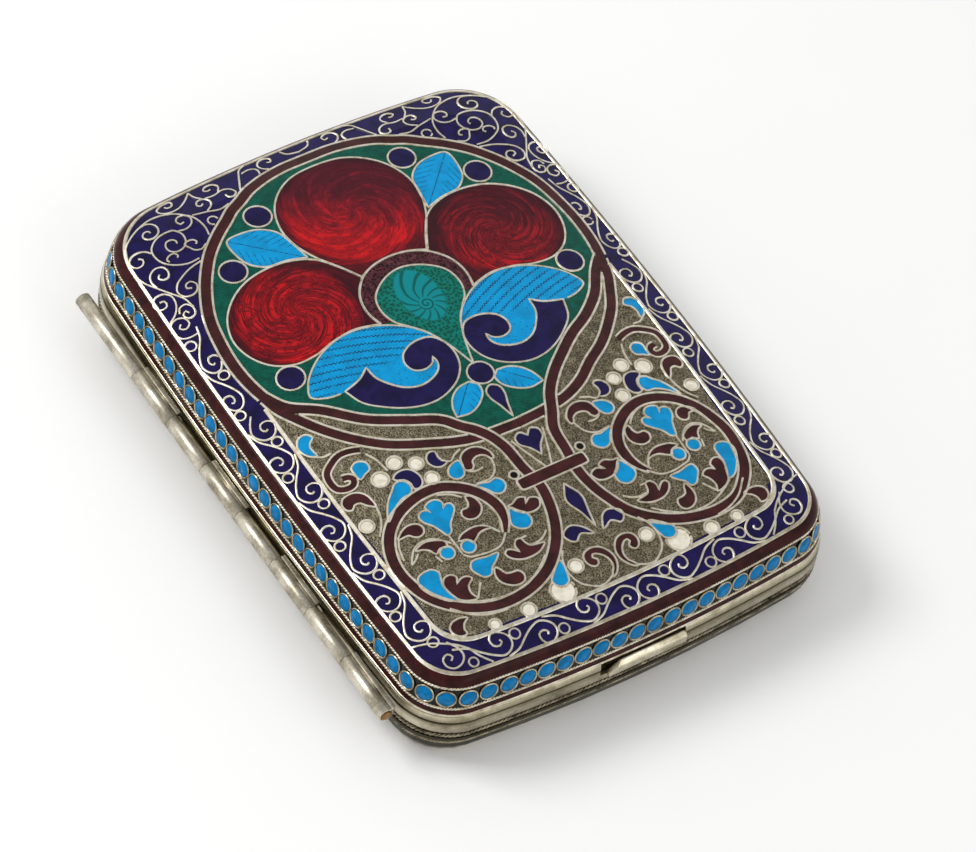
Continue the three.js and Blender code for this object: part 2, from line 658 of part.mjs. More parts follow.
add("push_piece", pushPiece(), SILVER);
add("catch_spring", catchSpring(), BRASS);
add("spring_rivet_left", geometryOf(springRivet(-1)), BRASS);
add("spring_rivet_right", geometryOf(springRivet(1)), BRASS);
add("catch_keeper", keeper(), GILT);

// Mirror: a glass in a gilt frame, fixed inside the lid
function mirrorFrame() {
  const top = MIRROR_FRAME_BOTTOM + MIRROR_FRAME_THICKNESS;
  const rimInset = MIRROR_INSET - MIRROR_GAP - MIRROR_RIM;
  return carriedRound([
    [MIRROR_FRAME_INSET, MIRROR_FRAME_BOTTOM],
    [MIRROR_FRAME_INSET, top],
    [rimInset, top],
    [rimInset, top + MIRROR_RIM_HEIGHT],
    [rimInset + MIRROR_RIM, top + MIRROR_RIM_HEIGHT],
    [rimInset + MIRROR_RIM, top],
    [MIRROR_WINDOW_INSET, top],
    [MIRROR_WINDOW_INSET, MIRROR_FRAME_BOTTOM],
  ]);
}

const glassBottom = MIRROR_FRAME_BOTTOM + MIRROR_FRAME_THICKNESS + MIRROR_GAP;
add("mirror_frame", mirrorFrame(), GILT);
add(
  "mirror_glass",
  prism(outlineShape(MIRROR_INSET), glassBottom, glassBottom + MIRROR_THICKNESS),
  MIRROR,
);

// Tray: a gilt sheet with a wide well for powder and a long well for a stick or comb
function tray() {
  const floor = BASE_FLOOR + SEAT_GAP;
  const wells = [POWDER_WELL, LONG_WELL];
  const total = POWDER_WELL[0] + LONG_WELL[0] + WELL_SPACING;
  let left = -total / 2;
  let body = solidOf(prism(outlineShape(TRAY_INSET), TRAY_TOP - TRAY_SHEET, TRAY_TOP));
  let hollow = null;
  for (const [width, length, radius] of wells) {
    const x = left + width / 2;
    const inside = roundedRectangle(width, length, radius, x, WELL_SHIFT);
    const wall = 2 * TRAY_SHEET;
    const outside = roundedRectangle(width + wall, length + wall, radius + TRAY_SHEET, x, WELL_SHIFT);
    body = body.add(solidOf(prism(outside, floor, TRAY_TOP - TRAY_SHEET / 2)));
    const cut = solidOf(prism(inside, floor + TRAY_SHEET, TRAY_TOP + 1));
    hollow = hollow ? hollow.add(cut) : cut;
    left += width + WELL_SPACING;
  }
  const bay = block(
    -CATCH_BAY[0] / 2,
    CATCH_BAY[0] / 2,
    frontY(-1),
    frontY(CATCH_BAY[1]),
    0,
    SHOULDER_HEIGHT,
  );
  return geometryOf(body.subtract(hollow).subtract(solidOf(bay)));
}

add("liner_tray", tray(), GILT);

// The origin is the middle of the case's footprint, hinge and push-piece included
const reachLeft = -HINGE_X + HINGE_RADIUS;
const reachRight = CASE_WIDTH / 2 - RIM_INSET;
const reachFront = CASE_LENGTH / 2 - RIM_INSET + PUSH_PROUD;
const reachBack = CASE_LENGTH / 2 - RIM_INSET;
part.position.set((reachLeft - reachRight) / 2, (reachFront - reachBack) / 2, 0);

export default part;
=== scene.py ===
"""Enamel vanity case: a domed cloisonne lid and a plain silver base on a side hinge, with a push-piece catch."""

import math

import bmesh
import bpy
import numpy as np
from mathutils import Matrix, Vector


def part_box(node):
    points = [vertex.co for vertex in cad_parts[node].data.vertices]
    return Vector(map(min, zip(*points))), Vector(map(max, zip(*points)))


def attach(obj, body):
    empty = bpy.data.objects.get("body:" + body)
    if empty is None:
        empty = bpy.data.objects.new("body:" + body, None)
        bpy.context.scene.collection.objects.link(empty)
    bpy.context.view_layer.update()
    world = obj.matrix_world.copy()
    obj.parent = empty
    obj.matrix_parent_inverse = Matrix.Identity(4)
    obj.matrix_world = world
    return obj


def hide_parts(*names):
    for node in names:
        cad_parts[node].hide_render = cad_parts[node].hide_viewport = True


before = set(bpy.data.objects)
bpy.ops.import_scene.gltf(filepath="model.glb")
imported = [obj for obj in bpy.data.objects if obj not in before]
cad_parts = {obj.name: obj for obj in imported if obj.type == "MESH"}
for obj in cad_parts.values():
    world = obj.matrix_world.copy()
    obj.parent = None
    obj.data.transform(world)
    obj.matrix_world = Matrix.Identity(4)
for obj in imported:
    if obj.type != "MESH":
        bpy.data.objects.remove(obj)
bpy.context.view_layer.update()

# ---------------------------------------------------------------- sizes, in millimetres from the case's middle
MM = 0.001
TURN = 2 * math.pi
CASE_WIDTH, CASE_LENGTH = 77.0, 105.3
SIDE_BOW, END_BOW = 1.1, 1.5
CORNER_RADIUS, FIELD_CORNER_RADIUS, CORNER_FADE = 8.5, 5.5, 3.0
BACK_CORNER_EASE = 3.0  # how much rounder the two corners at the back are
BASE_DEPTH = 8.8
PARTING_GAP = 0.3
WALL_TILT = math.radians(78)
BORDER_SLOPE = math.radians(12)
SHOULDER_INSET, SHOULDER_HEIGHT, SHOULDER_RADIUS = 0.4, 15.7, 2.8
DOME_RISE = 2.72
TRIM_DEPTH = 0.5
SLAB_BOTTOM = TRIM_DEPTH - 0.1
FIELD_EDGE = 7.7
BASE_TOP = BASE_DEPTH - PARTING_GAP / 2
OUTLINE_STEPS = (14, 16, 10)  # a quarter's side, corner and end

shoulder_low, shoulder_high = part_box("lid_shoulder_wire")
MIDDLE = ((shoulder_low[0] + shoulder_high[0]) / 2 / MM, (shoulder_low[1] + shoulder_high[1]) / 2 / MM)


# ---------------------------------------------------------------- the case's outline and the lid's surface
def bow_radius(half, bow):
    return (half * half + bow * bow) / (2 * bow)


SIDE_RADIUS = bow_radius(CASE_LENGTH / 2 - CORNER_RADIUS, SIDE_BOW)
END_RADIUS = bow_radius(CASE_WIDTH / 2 - CORNER_RADIUS, END_BOW)
SIDE_CENTRE = CASE_WIDTH / 2 - SIDE_RADIUS
END_CENTRE = CASE_LENGTH / 2 - END_RADIUS


def corner_arc(inset, ease):
    """Radius, centre and end angles of the corner's arc at an inset."""
    radius = FIELD_CORNER_RADIUS + ease + (CORNER_RADIUS - FIELD_CORNER_RADIUS) * np.exp(-inset / CORNER_FADE)
    from_side = SIDE_RADIUS - inset - radius
    from_end = END_RADIUS - inset - radius
    apart = math.hypot(SIDE_CENTRE, END_CENTRE)
    along = (from_side**2 - from_end**2 + apart**2) / (2 * apart)
    across = np.sqrt(from_side**2 - along**2)
    way = (-SIDE_CENTRE / apart, END_CENTRE / apart)
    x = SIDE_CENTRE + way[0] * along - way[1] * across
    y = way[1] * along + way[0] * across
    return radius, x, y, np.arctan2(y, x - SIDE_CENTRE), np.arctan2(y - END_CENTRE, x)


def quarter_outline(inset, ease, steps):
    radius, x, y, leave, join = corner_arc(inset, ease)
    arcs = (
        (SIDE_CENTRE, 0, SIDE_RADIUS - inset, 0, leave, steps[0]),
        (x, y, radius, leave, join, steps[1]),
        (0, END_CENTRE, END_RADIUS - inset, join, math.pi / 2, steps[2]),
    )
    points = []
    for cx, cy, size, start, finish, count in arcs:
        for i in range(count):
            angle = start + (finish - start) * i / count
            points.append((cx + size * math.cos(angle), cy + size * math.sin(angle)))
    points.append((0, CASE_LENGTH / 2 - inset))
    return points


def outline(inset, steps=OUTLINE_STEPS):
    """The case's outline at an inset, from the right-hand side's middle, anticlockwise."""
    back = quarter_outline(inset, BACK_CORNER_EASE, steps)
    front = quarter_outline(inset, 0, steps)
    back += [(-x, y) for x, y in reversed(back[:-1])]
    front += [(-x, y) for x, y in reversed(front[:-1])]
    return back[:-1] + [(-x, -y) for x, y in front[:-1]]


def inset_at(x, y, deepest=9.0):
    """How far in from the case's outline a point of the plan is, up to the deepest."""
    ease = np.where(np.asarray(y, float) > 0, BACK_CORNER_EASE, 0)
    x, y = np.abs(np.asarray(x, float)), np.abs(np.asarray(y, float))
    low, high = np.full(x.shape, -2.0), np.full(x.shape, deepest)
    for _ in range(24):
        middle = (low + high) / 2
        radius, cx, cy, leave, join = corner_arc(middle, ease)
        inside = np.where(
            np.arctan2(y, x - SIDE_CENTRE) < leave,
            SIDE_RADIUS - middle - np.hypot(x - SIDE_CENTRE, y),
            np.where(
                np.arctan2(y - END_CENTRE, x) > join,
                END_RADIUS - middle - np.hypot(x, y - END_CENTRE),
                radius - np.hypot(x - cx, y - cy),
            ),
        )
        low, high = np.where(inside > 0, middle, low), np.where(inside > 0, high, middle)
    return (low + high) / 2


SHOULDER_LENGTH = SHOULDER_RADIUS * (WALL_TILT - BORDER_SLOPE)
SHOULDER_CENTRE = (
    SHOULDER_INSET + SHOULDER_RADIUS * math.sin(WALL_TILT),
    SHOULDER_HEIGHT - SHOULDER_RADIUS * math.cos(WALL_TILT),
)


def lid_section(station, depth=0.0):
    """[inset, height] at a station along the lid's section, some depth below the wires' crest."""
    turned = min(max(station, 0), SHOULDER_LENGTH)
    slope = WALL_TILT - turned / SHOULDER_RADIUS
    straight = station - turned
    radius = SHOULDER_RADIUS - depth
    return (
        SHOULDER_CENTRE[0] - radius * math.sin(slope) + straight * math.cos(slope),
        SHOULDER_CENTRE[1] + radius * math.cos(slope) + straight * math.sin(slope),
    )


FIELD_INSET = lid_section(FIELD_EDGE)[0]
FIELD_HALF_WIDTH = CASE_WIDTH / 2 - FIELD_INSET
FIELD_HALF_LENGTH = CASE_LENGTH / 2 - FIELD_INSET


def crest(x, y):
    """Height of the wires' crest above a point of the plan."""
    x, y = np.asarray(x, float), np.asarray(y, float)
    inset = inset_at(x, y)
    reach = np.clip((SHOULDER_CENTRE[0] - inset) / SHOULDER_RADIUS, math.sin(BORDER_SLOPE), math.sin(WALL_TILT))
    bend = SHOULDER_CENTRE[1] + SHOULDER_RADIUS * np.sqrt(1 - reach**2)
    flat = SHOULDER_CENTRE[0] - SHOULDER_RADIUS * math.sin(BORDER_SLOPE)
    border = np.clip(inset - flat, 0, FIELD_INSET - flat) * math.tan(BORDER_SLOPE)
    u = np.clip(np.abs(x) / FIELD_HALF_WIDTH, 0, 1)
    v = np.clip(np.abs(y) / FIELD_HALF_LENGTH, 0, 1)
    dome = np.where(inset >= FIELD_INSET, DOME_RISE * (1 - u**2) * (1 - v**2), 0)
    return bend + border + dome


# ---------------------------------------------------------------- pieces
def set_down(mesh):
    """From millimetres about the case's middle to the row frame's metres."""
    mesh.transform(Matrix.Scale(MM, 4) @ Matrix.Translation((MIDDLE[0], MIDDLE[1], 0)))


def linked(name, data):
    made = bpy.data.objects.new(name, data)
    bpy.context.scene.collection.objects.link(made)
    return made


def add_piece(name, mesh, material, body, stands_for=(), corner=30, millimetres=True):
    if millimetres:
        set_down(mesh)
    for polygon in mesh.polygons:
        polygon.use_smooth = True
    mesh.set_sharp_from_angle(angle=math.radians(corner))
    mesh.materials.clear()
    mesh.materials.append(material)
    piece = linked(name, mesh)
    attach(piece, body)
    if stands_for:
        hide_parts(*stands_for)
    return piece


def mesh_from(name, bm):
    mesh = bpy.data.meshes.new(name)
    bm.to_mesh(mesh)
    bm.free()
    return mesh


def clean_mesh(name, bm):
    bmesh.ops.remove_doubles(bm, verts=bm.verts, dist=1e-4)
    bmesh.ops.recalc_face_normals(bm, faces=bm.faces)
    return mesh_from(name, bm)


def worked_out(thing):
    """The mesh of an object once its curves or modifiers are worked out."""
    return bpy.data.meshes.new_from_object(thing.evaluated_get(bpy.context.evaluated_depsgraph_get()))


def loop_edges(bm, verts):
    return [bm.edges.new(pair) for pair in zip(verts, verts[1:] + verts[:1])]


def spun(bm, geometry, steps, axis=(0, 0, 1), middle=(0, 0, 0)):
    """Turns a closed section once round an axis."""
    bmesh.ops.spin(bm, geom=geometry, cent=middle, axis=axis, angle=TURN, steps=steps, use_merge=True)


def carried_round(section, steps=OUTLINE_STEPS):
    """A bmesh of a section of (inset, height) points spun round and then drawn out to the case's outline."""
    bm = bmesh.new()
    middle = CASE_WIDTH / 2
    verts = [bm.verts.new((middle - inset, 0, height)) for inset, height in section]
    total = 4 * sum(steps)
    spun(bm, verts + loop_edges(bm, verts), total)
    rings = {}
    for vert in bm.verts:
        reach = math.hypot(vert.co.x, vert.co.y)
        step = round(math.atan2(vert.co.y, vert.co.x) / TURN * total) % total
        inset = round(middle - reach, 4)
        if inset not in rings:
            rings[inset] = outline(inset, steps)
        vert.co.x, vert.co.y = rings[inset][step]
    return bm


def lid_band(start, finish, top, bottom=TRIM_DEPTH, count=3, round_edge=0.0):
    """Section of a strip of trim on the lid, between two stations."""
    stations = [start + (finish - start) * i / count for i in range(count + 1)]
    upper = [lid_section(s, top) for s in stations]
    if round_edge:
        upper[0] = lid_section(start, top + round_edge)
        upper[-1] = lid_section(finish, top + round_edge)
        upper.insert(1, lid_section(start + round_edge, top))
        upper.insert(-1, lid_section(finish - round_edge, top))
    return upper + [lid_section(s, bottom) for s in reversed(stations)]


# ---------------------------------------------------------------- drawing on the lid
DRAWING_LIFT = 0.6  # the drawing's zero lies this much nearer the back than the case's middle
MIRROR_LINE = 0.4  # twice the drawing's middle


def places(text):
    """Points of a drawn line from its text: x and y, and an exclamation mark where the line turns sharply."""
    points = []
    for word in text.split(","):
        x, y = word.replace("!", "").split()
        points.append((float(x), float(y) + DRAWING_LIFT, "!" in word))
    return points


def smooth_line(points, closed=False, step=0.45):
    """A drawn line's points joined by smooth curves, in steps of a fixed length."""
    count = len(points)
    spots = [np.array(p[:2], float) for p in points]
    sharp = [len(p) > 2 and p[2] for p in points]

    def heading(i, side):
        before, after = i - 1, i + 1
        if not closed:
            before, after = max(before, 0), min(after, count - 1)
        a, b, c = spots[before % count], spots[i % count], spots[after % count]
        back, ahead = np.linalg.norm(b - a), np.linalg.norm(c - b)
        if sharp[i % count] or back == 0 or ahead == 0:
            near = c - b if side > 0 and ahead or not back else b - a
            return near / max(np.linalg.norm(near), 1e-9)
        return ((b - a) / back * ahead + (c - b) / ahead * back) / (back + ahead)

    line = []
    for i in range(count if closed else count - 1):
        a, b = spots[i], spots[(i + 1) % count]
        length = np.linalg.norm(b - a)
        leave, arrive = heading(i, 1) * length, heading(i + 1, -1) * length
        pieces = max(2, round(length / step))
        for k in range(pieces):
            t = k / pieces
            line.append(
                (2 * t**3 - 3 * t**2 + 1) * a
                + (t**3 - 2 * t**2 + t) * leave
                + (3 * t**2 - 2 * t**3) * b
                + (t**3 - t**2) * arrive
            )
    if not closed:
        line.append(spots[-1])
    return [tuple(p) for p in line]


def circle(x, y, radius, count=20):
    angles = [TURN * i / count for i in range(count)]
    return [(x + radius * math.cos(a), y + radius * math.sin(a)) for a in angles]


def thinning(line, thins):
    """How wide a strap is at each point of its line, where it thins to a quarter over its last points."""
    left = np.arange(len(line))[::-1]
    return np.interp(left, [0, thins], [0.25, 1]) if thins else np.ones(len(line))


def beside(line, away):
    """A line drawn beside another, on its left where the distance is positive."""
    spots = np.array(line)
    ways = np.gradient(spots, axis=0)
    ways /= np.maximum(np.linalg.norm(ways, axis=1, keepdims=True), 1e-9)
    away = np.broadcast_to(away, len(line))[:, None]
    return [tuple(p) for p in spots + away * np.stack([-ways[:, 1], ways[:, 0]], 1)]


def ribbon(line, width, thins=0):
    """A strap along a line. It may thin out over its last points."""
    share = thinning(line, thins)
    return beside(line, width / 2 * share) + beside(line, -width / 2 * share)[::-1]


def lean(x, y):
    """The lower field's two halves were drawn by eye: how much further out the right one's lines fall."""
    reach, y = abs(x), y - DRAWING_LIFT
    near = np.interp(reach, [0, 4, 7, 10, 20, 24, 28, 32], [0.4, 0.6, 1.0, 1.2, 1.3, 0.9, -0.1, -0.3])
    low = np.interp(reach, [0, 5, 10, 16.4, 22.4, 30], [1.5, 1.3, 1.3, 0.6, -0.6, -0.3])
    near += (low - near) * np.interp(y, [-37, -33], [1, 0])
    return float(MIRROR_LINE + (near - MIRROR_LINE) * np.interp(y, [-16, -8], [1, 0]))


def both_halves(texts):
    """The points of each drawn line, and of the same line in the right half."""
    lines = [places(text) for text in texts]
    return [half for line in lines for half in (line, [(lean(p[0], p[1]) - p[0], *p[1:]) for p in line])]


def both_lines(texts, closed=False):
    return [smooth_line(line, closed) for line in both_halves(texts)]


def mirrored(line, twice_middle=MIRROR_LINE):
    """The other half of a line that crosses the middle at its ends, drawn back the other way."""
    return [(twice_middle - p[0], *p[1:]) for p in line][::-1]


def spots(circles):
    return [(x, y + DRAWING_LIFT, radius) for x, y, radius in circles]


def paired(circles, leaning=False):
    """Circles and the same ones in the right half."""
    return [
        (x, y, radius)
        for left, y, radius in spots(circles)
        for x in (left, (lean(left, y) if leaning else MIRROR_LINE) - left)
    ]


def slab(name, shapes, top, material, stands_for=(), grid=2.0):
    """Flat shapes laid on the lid as one piece of enamel or metal, their tops some depth below the crest."""
    bm = bmesh.new()
    for shape in shapes:
        bm.faces.new([bm.verts.new((x, y, 0)) for x, y in shape])
    bmesh.ops.recalc_face_normals(bm, faces=bm.faces)
    for face in bm.faces:
        if face.normal.z < 0:
            face.normal_flip()
    reach = [max(abs(v.co[axis]) for v in bm.verts) for axis in (0, 1)]
    for axis, normal in enumerate(((1, 0, 0), (0, 1, 0))):
        at = -math.floor(reach[axis] / grid) * grid
        while at < reach[axis]:
            parts = bm.verts[:] + bm.edges[:] + bm.faces[:]
            bmesh.ops.bisect_plane(bm, geom=parts, dist=1e-5, plane_co=Vector(normal) * at, plane_no=normal)
            at += grid
    lower = bm.verts[:]
    raised = bmesh.ops.extrude_face_region(bm, geom=bm.faces[:], use_keep_orig=True)
    upper = [v for v in raised["geom"] if isinstance(v, bmesh.types.BMVert)]
    for verts, depth in ((lower, SLAB_BOTTOM), (upper, top)):
        heights = crest([v.co.x for v in verts], [v.co.y for v in verts])
        for vert, height in zip(verts, heights):
            vert.co.z = height - depth
    return add_piece(name, clean_mesh(name, bm), material, "lid", stands_for, corner=40)


def swept(name, lines, resolution):
    """Round wires as one mesh. Each line is (points in space, radius, closed)."""
    curve = bpy.data.curves.new(name, "CURVE")
    curve.dimensions = "3D"
    curve.bevel_depth = 1.0
    curve.bevel_resolution = resolution
    curve.use_fill_caps = True
    for line, radius, closed in lines:
        spline = curve.splines.new("POLY")
        spline.points.add(len(line) - 1)
        for point, place in zip(spline.points, line):
            point.co = (*place, 1)
            point.radius = radius
        spline.use_cyclic_u = closed
    holder = linked(name, curve)
    mesh = worked_out(holder)
    bpy.data.objects.remove(holder)
    return mesh


def wires(name, lines, crown=0.06):
    """Silver wires along lines of the plan, worn flat on top. Each line is (points, width, closed)."""
    raised = []
    for line, width, closed in lines:
        heights = crest(*zip(*line)) - width / 2 + crown
        raised.append(([(x, y, height) for (x, y), height in zip(line, heights)], width / 2, closed))
    bm = bmesh.new()
    bm.from_mesh(swept(name, raised, 2))
    heights = crest([v.co.x for v in bm.verts], [v.co.y for v in bm.verts])
    for vert, height in zip(bm.verts, heights):
        vert.co.z = min(vert.co.z, height)
    return add_piece(name, clean_mesh(name, bm), wire_silver, "lid", corner=50)


# ---------------------------------------------------------------- materials
def shade(text):
    """Linear colour from a web colour."""
    parts = [int(text[i : i + 2], 16) / 255 for i in (0, 2, 4)]
    return (*(c / 12.92 if c <= 0.04045 else ((c + 0.055) / 1.055) ** 2.4 for c in parts), 1)


class Value:
    """A node's output. Whatever is worked out from it adds a node to the same tree."""

    def __init__(self, tree, socket):
        self.tree, self.socket = tree, socket

    def node(self, kind, inputs, out=0, **settings):
        made = self.tree.nodes.new("ShaderNode" + kind)
        for key, value in settings.items():
            setattr(made, key, value)
        for key, value in inputs.items():
            join(value, made.inputs[key])
        return Value(self.tree, made.outputs[out])

    def math(self, operation, *others):
        return self.node("Math", dict(enumerate((self, *others))), operation=operation)

    def __add__(self, other):
        return self.math("ADD", other)

    def __sub__(self, other):
        return self.math("SUBTRACT", other)

    def __rsub__(self, other):
        return self.node("Math", {0: other, 1: self}, operation="SUBTRACT")

    def __mul__(self, other):
        return self.math("MULTIPLY", other)

    def __truediv__(self, other):
        return self.math("DIVIDE", other)

    def __abs__(self):
        return self.math("ABSOLUTE")

    def greater(self, other):
        return self.math("MAXIMUM", other)

    def span(self, low, high, start=0.0, finish=1.0):
        return self.node("MapRange", {0: self, 1: low, 2: high, 3: start, 4: finish})

    def blend(self, first, second):
        return self.node("Mix", {0: self, 6: first, 7: second}, 2, data_type="RGBA")

    def choose(self, first, second):
        return self.node("Mix", {0: self, 2: first, 3: second})

    def noise(self, scale, detail=3.0, distortion=0.0):
        return self.node("TexNoise", {"Vector": self, "Scale": scale, "Detail": detail, "Distortion": distortion})

    def dots(self, scale, dimensions="3D", out=0):
        return self.node("TexVoronoi", {"Vector": self, "Scale": scale}, out, voronoi_dimensions=dimensions)

    def vector_math(self, operation, other, out=0):
        return self.node("VectorMath", {0: self, 1: other}, out, operation=operation)

    def parts(self):
        split = self.tree.nodes.new("ShaderNodeSeparateXYZ")
        join(self, split.inputs[0])
        return [Value(self.tree, socket) for socket in split.outputs]

    def out_from(self, middle):
        """The way out from a middle, across and along, and how far it is."""
        x, y, _ = self.vector_math("SUBTRACT", middle).parts()
        return x, y, (x * x + y * y).math("SQRT")

    def use(self, group, **inputs):
        """A group's outputs at this place."""
        made = self.tree.nodes.new("ShaderNodeGroup")
        made.node_tree = group
        for label, value in {"Place": self, **inputs}.items():
            join(value, made.inputs[label.replace("_", " ")])
        return {socket.name: Value(self.tree, socket) for socket in made.outputs}


def join(value, socket):
    if isinstance(value, Value):
        value.tree.links.new(value.socket, socket)
    else:
        socket.default_value = value


def first_value(tree, kind, out):
    return Value(tree, tree.nodes.new("ShaderNode" + kind).outputs[out])


def vector(x, y, z=0.0):
    return x.node("CombineXYZ", {0: x, 1: y, 2: z})


SOCKET_KINDS = {"VALUE": "NodeSocketFloat", "RGBA": "NodeSocketColor", "VECTOR": "NodeSocketVector"}
BLANK = (1, 1, 1, 1)


def shared(name, **inputs):
    """Makes a node group of the function below it. An input is given as None for a place, or a colour or a number."""

    def made_of(draw):
        tree = bpy.data.node_groups.new(name, "ShaderNodeTree")
        for label, value in {"Place": None, **inputs}.items():
            kind = "VECTOR" if value is None else "RGBA" if value is BLANK else "VALUE"
            label = label.replace("_", " ")
            socket = tree.interface.new_socket(label, in_out="INPUT", socket_type=SOCKET_KINDS[kind])
            if value is not None:
                socket.default_value = value
        given = tree.nodes.new("NodeGroupInput").outputs
        out = draw(*(Value(tree, given[i]) for i in range(len(inputs) + 1)))
        for label, value in out.items():
            tree.interface.new_socket(label, in_out="OUTPUT", socket_type=SOCKET_KINDS[value.socket.type])
        finish = tree.nodes.new("NodeGroupOutput")
        for label, value in out.items():
            join(value, finish.inputs[label])
        return tree

    return made_of


@shared("millimetres_from_the_middle")
def plan(place):
    middle = {"Vector": place, "Location": (-MIDDLE[0], -MIDDLE[1], 0), "Scale": (1 / MM,) * 3}
    return {"Millimetres": place.node("Mapping", middle)}


@shared("fired_glaze", Colour=BLANK, Deep_colour=BLANK, Scale=500.0)
def glaze(place, colour, deep_colour, scale):
    cloud = place.noise(scale, 4.0, 0.6)
    speck = place.dots(scale * 6.0).span(0.05, 0.12, 1, 0)
    mottled = cloud.span(0.38, 0.66).blend(colour, deep_colour)
    return {
        "Colour": (speck * 0.35).blend(mottled, deep_colour),
        "Roughness": cloud.span(0.3, 0.7, 0.1, 0.22),
        "Height": cloud + speck * -0.25,
    }


@shared("worn_metal", Bright=BLANK, Dull=BLANK, Scale=700.0, Polish=0.25, Spread=0.16)
def wear(place, bright, dull, scale, polish, spread):
    cloud = place.noise(scale, 5.0, 0.3)
    rubbed = place.noise(scale * 9.0)
    return {
        "Colour": (cloud + rubbed * 0.35).span(0.55, 0.9).blend(bright, dull),
        "Roughness": cloud.span(0.3, 0.7, polish, polish + spread),
        "Height": rubbed,
    }


@shared("folded_about_the_middle")
def fold(place):
    """Distance out from the drawing's middle line, and the height up the drawing."""
    x, y, _ = place.parts()
    return {"Out": abs(x - MIRROR_LINE / 2), "Up": y}


@shared("engraved_whorl", Middle=None, Pitch=1.0, Arms=1.0, Waver=0.0)
def whorl(place, middle, pitch, arms, waver):
    """Lines that wind out from a middle: their wave, from -1 to 1, and the distance from the middle."""
    dx, dy, reach = place.out_from(middle)
    turned = dy.math("ARCTAN2", dx) * (arms / TURN)
    wound = reach / pitch + turned + place.noise(0.3, 2.0) * waver
    return {"Line": (wound * TURN).math("SINE"), "Reach": reach}


@shared("petal_brushwork", Middle=None, Lit_side=None, Turn=0.4, Edge=9.0)
def petal(place, middle, lit_side, turn, edge):
    """A petal's light and shade, its strokes curled about the middle and about many small ones, and its margin."""

    def brushed(dx, dy, reach, turned, around, along):
        """Noise drawn out along lines that wind out from a middle."""
        angle = dy.math("ARCTAN2", dx) + reach * turned
        return vector(angle.math("COSINE") * around, angle.math("SINE") * around, reach * along).noise(1.0, 3.0, 0.3)

    def engraved(brush, level):
        return abs(brush - level).span(0.02, 0.06, 1, 0)

    dx, dy, reach = place.out_from(middle)
    broad = brushed(dx, dy, reach, turn * 0.8, 1.8, 0.5)
    whirl = brushed(dx, dy, reach, turn, 4.5, 0.4)
    small = place.out_from(place.dots(0.3, "2D", "Position"))
    curl = brushed(*small, turn * -3.0, 2.2, 0.9)
    lines = engraved(whirl, 0.5).greater(engraved(whirl, 0.4) * 0.6)
    curls = engraved(curl, 0.5).greater(engraved(curl, 0.38)) * place.noise(0.6, 2.0).span(0.56, 0.46)
    jagged = whirl * 5.0 + broad * 3.0
    return {
        "Glow": vector(dx, dy).vector_math("DOT_PRODUCT", lit_side, "Value") * 0.1 + broad,
        "Strokes": lines.greater(curls),
        "Shade": whirl.span(0.5, 0.36),
        "Light": whirl.span(0.6, 0.72),
        "Margin": (reach + jagged - edge).span(3.6, 4.6),
    }


@shared("fine_scratches")
def scratches(place):
    drawn_out = place.vector_math("MULTIPLY", (0.35, 4.0, 7.0))
    return {"Mask": drawn_out.noise(1.6, 4.0).span(0.52, 0.62, 0, 0.35)}


@shared("parting_shade_and_darker_foot")
def parting_shade_and_low_darkening(place):
    """Painted shade at the parting of lid and base, a darker band about it, and darker from the rim to the foot."""
    height = place.parts()[2]
    parting = abs(height - BASE_DEPTH)
    uneven = place.noise(0.6) * 0.5
    return {
        # painted shade in the parting between lid and base
        "Black": parting.span(0.42, 0.18, 0, 0.95),
        "Smear": (parting - uneven).span(0.9, 0.2, 0, 0.5),
        "Low": (height - uneven).span(6.3, 5.3, 0, 0.93) * (height + uneven).span(0.7, 2.6),
    }


def new_material(name):
    material = bpy.data.materials.new(name)
    material.use_nodes = True
    tree = material.node_tree
    return material, tree.nodes["Principled BSDF"].inputs, first_value(tree, "TexCoord", "Object")


def coated(name, skin, pattern, strength, distance, **settings):
    """A material with a group for its skin. A pattern takes the millimetres from the middle, and yields masks, each
    with its colour and the height it adds."""
    material, shader, at = new_material(name)
    out = at.use(skin, **settings)
    colour, height = out["Colour"], out["Height"]
    if pattern:
        for mask, paint, depth in pattern(at.use(plan)["Millimetres"]):
            colour = mask.blend(colour, shade(paint))
            height = height + mask * depth
    join(colour, shader["Base Color"])
    join(out["Roughness"], shader["Roughness"])
    join(at.node("Bump", {"Height": height, "Strength": strength, "Distance": distance}), shader["Normal"])
    return material, shader


def metal(name, bright, dull, polish=0.22, scale=600.0, grain=0.12, pattern=None, spread=0.16):
    look = {"Bright": shade(bright), "Dull": shade(dull), "Scale": scale, "Polish": polish, "Spread": spread}
    material, shader = coated(name, wear, pattern, grain, 0.00003, **look)
    shader["Metallic"].default_value = 1.0
    return material


def enamel(name, colour, deep, scale=450.0, pattern=None, shine=0.2):
    look = {"Colour": shade(colour), "Deep_colour": shade(deep), "Scale": scale}
    material, shader = coated(name, glaze, pattern, 0.12, 0.00004, **look)
    shader["Specular IOR Level"].default_value = shine
    return material


def wing_rows(at):
    """Wavering engraved rows, and a sprinkling of dashes."""
    x, y = at.use(fold).values()
    along, across = x * -0.94 + y * -0.35, x * -0.35 + y * 0.94
    bowed = across + (along + 16.0).math("POWER", 2.0) * 0.008
    waver = (along * (TURN / 0.62)).math("SINE") * 0.13
    lines = (bowed + waver).math("PINGPONG", 0.675).span(0.085, 0.17, 1, 0)
    grain = at.noise(3.2, 2.0)
    upper = (y + x * 0.05).span(4.2, 5.2)
    dashes = vector(along, across * 1.6).dots(1.25).span(0.16, 0.24, 1, 0)
    yield grain.span(0.5, 0.7) * 0.5, "0a9ce4", 0.0
    yield dashes * (0.75 - upper * 0.45), "11486e", -0.6
    yield lines * (upper * grain.span(0.36, 0.46)), "123c5c", -0.9


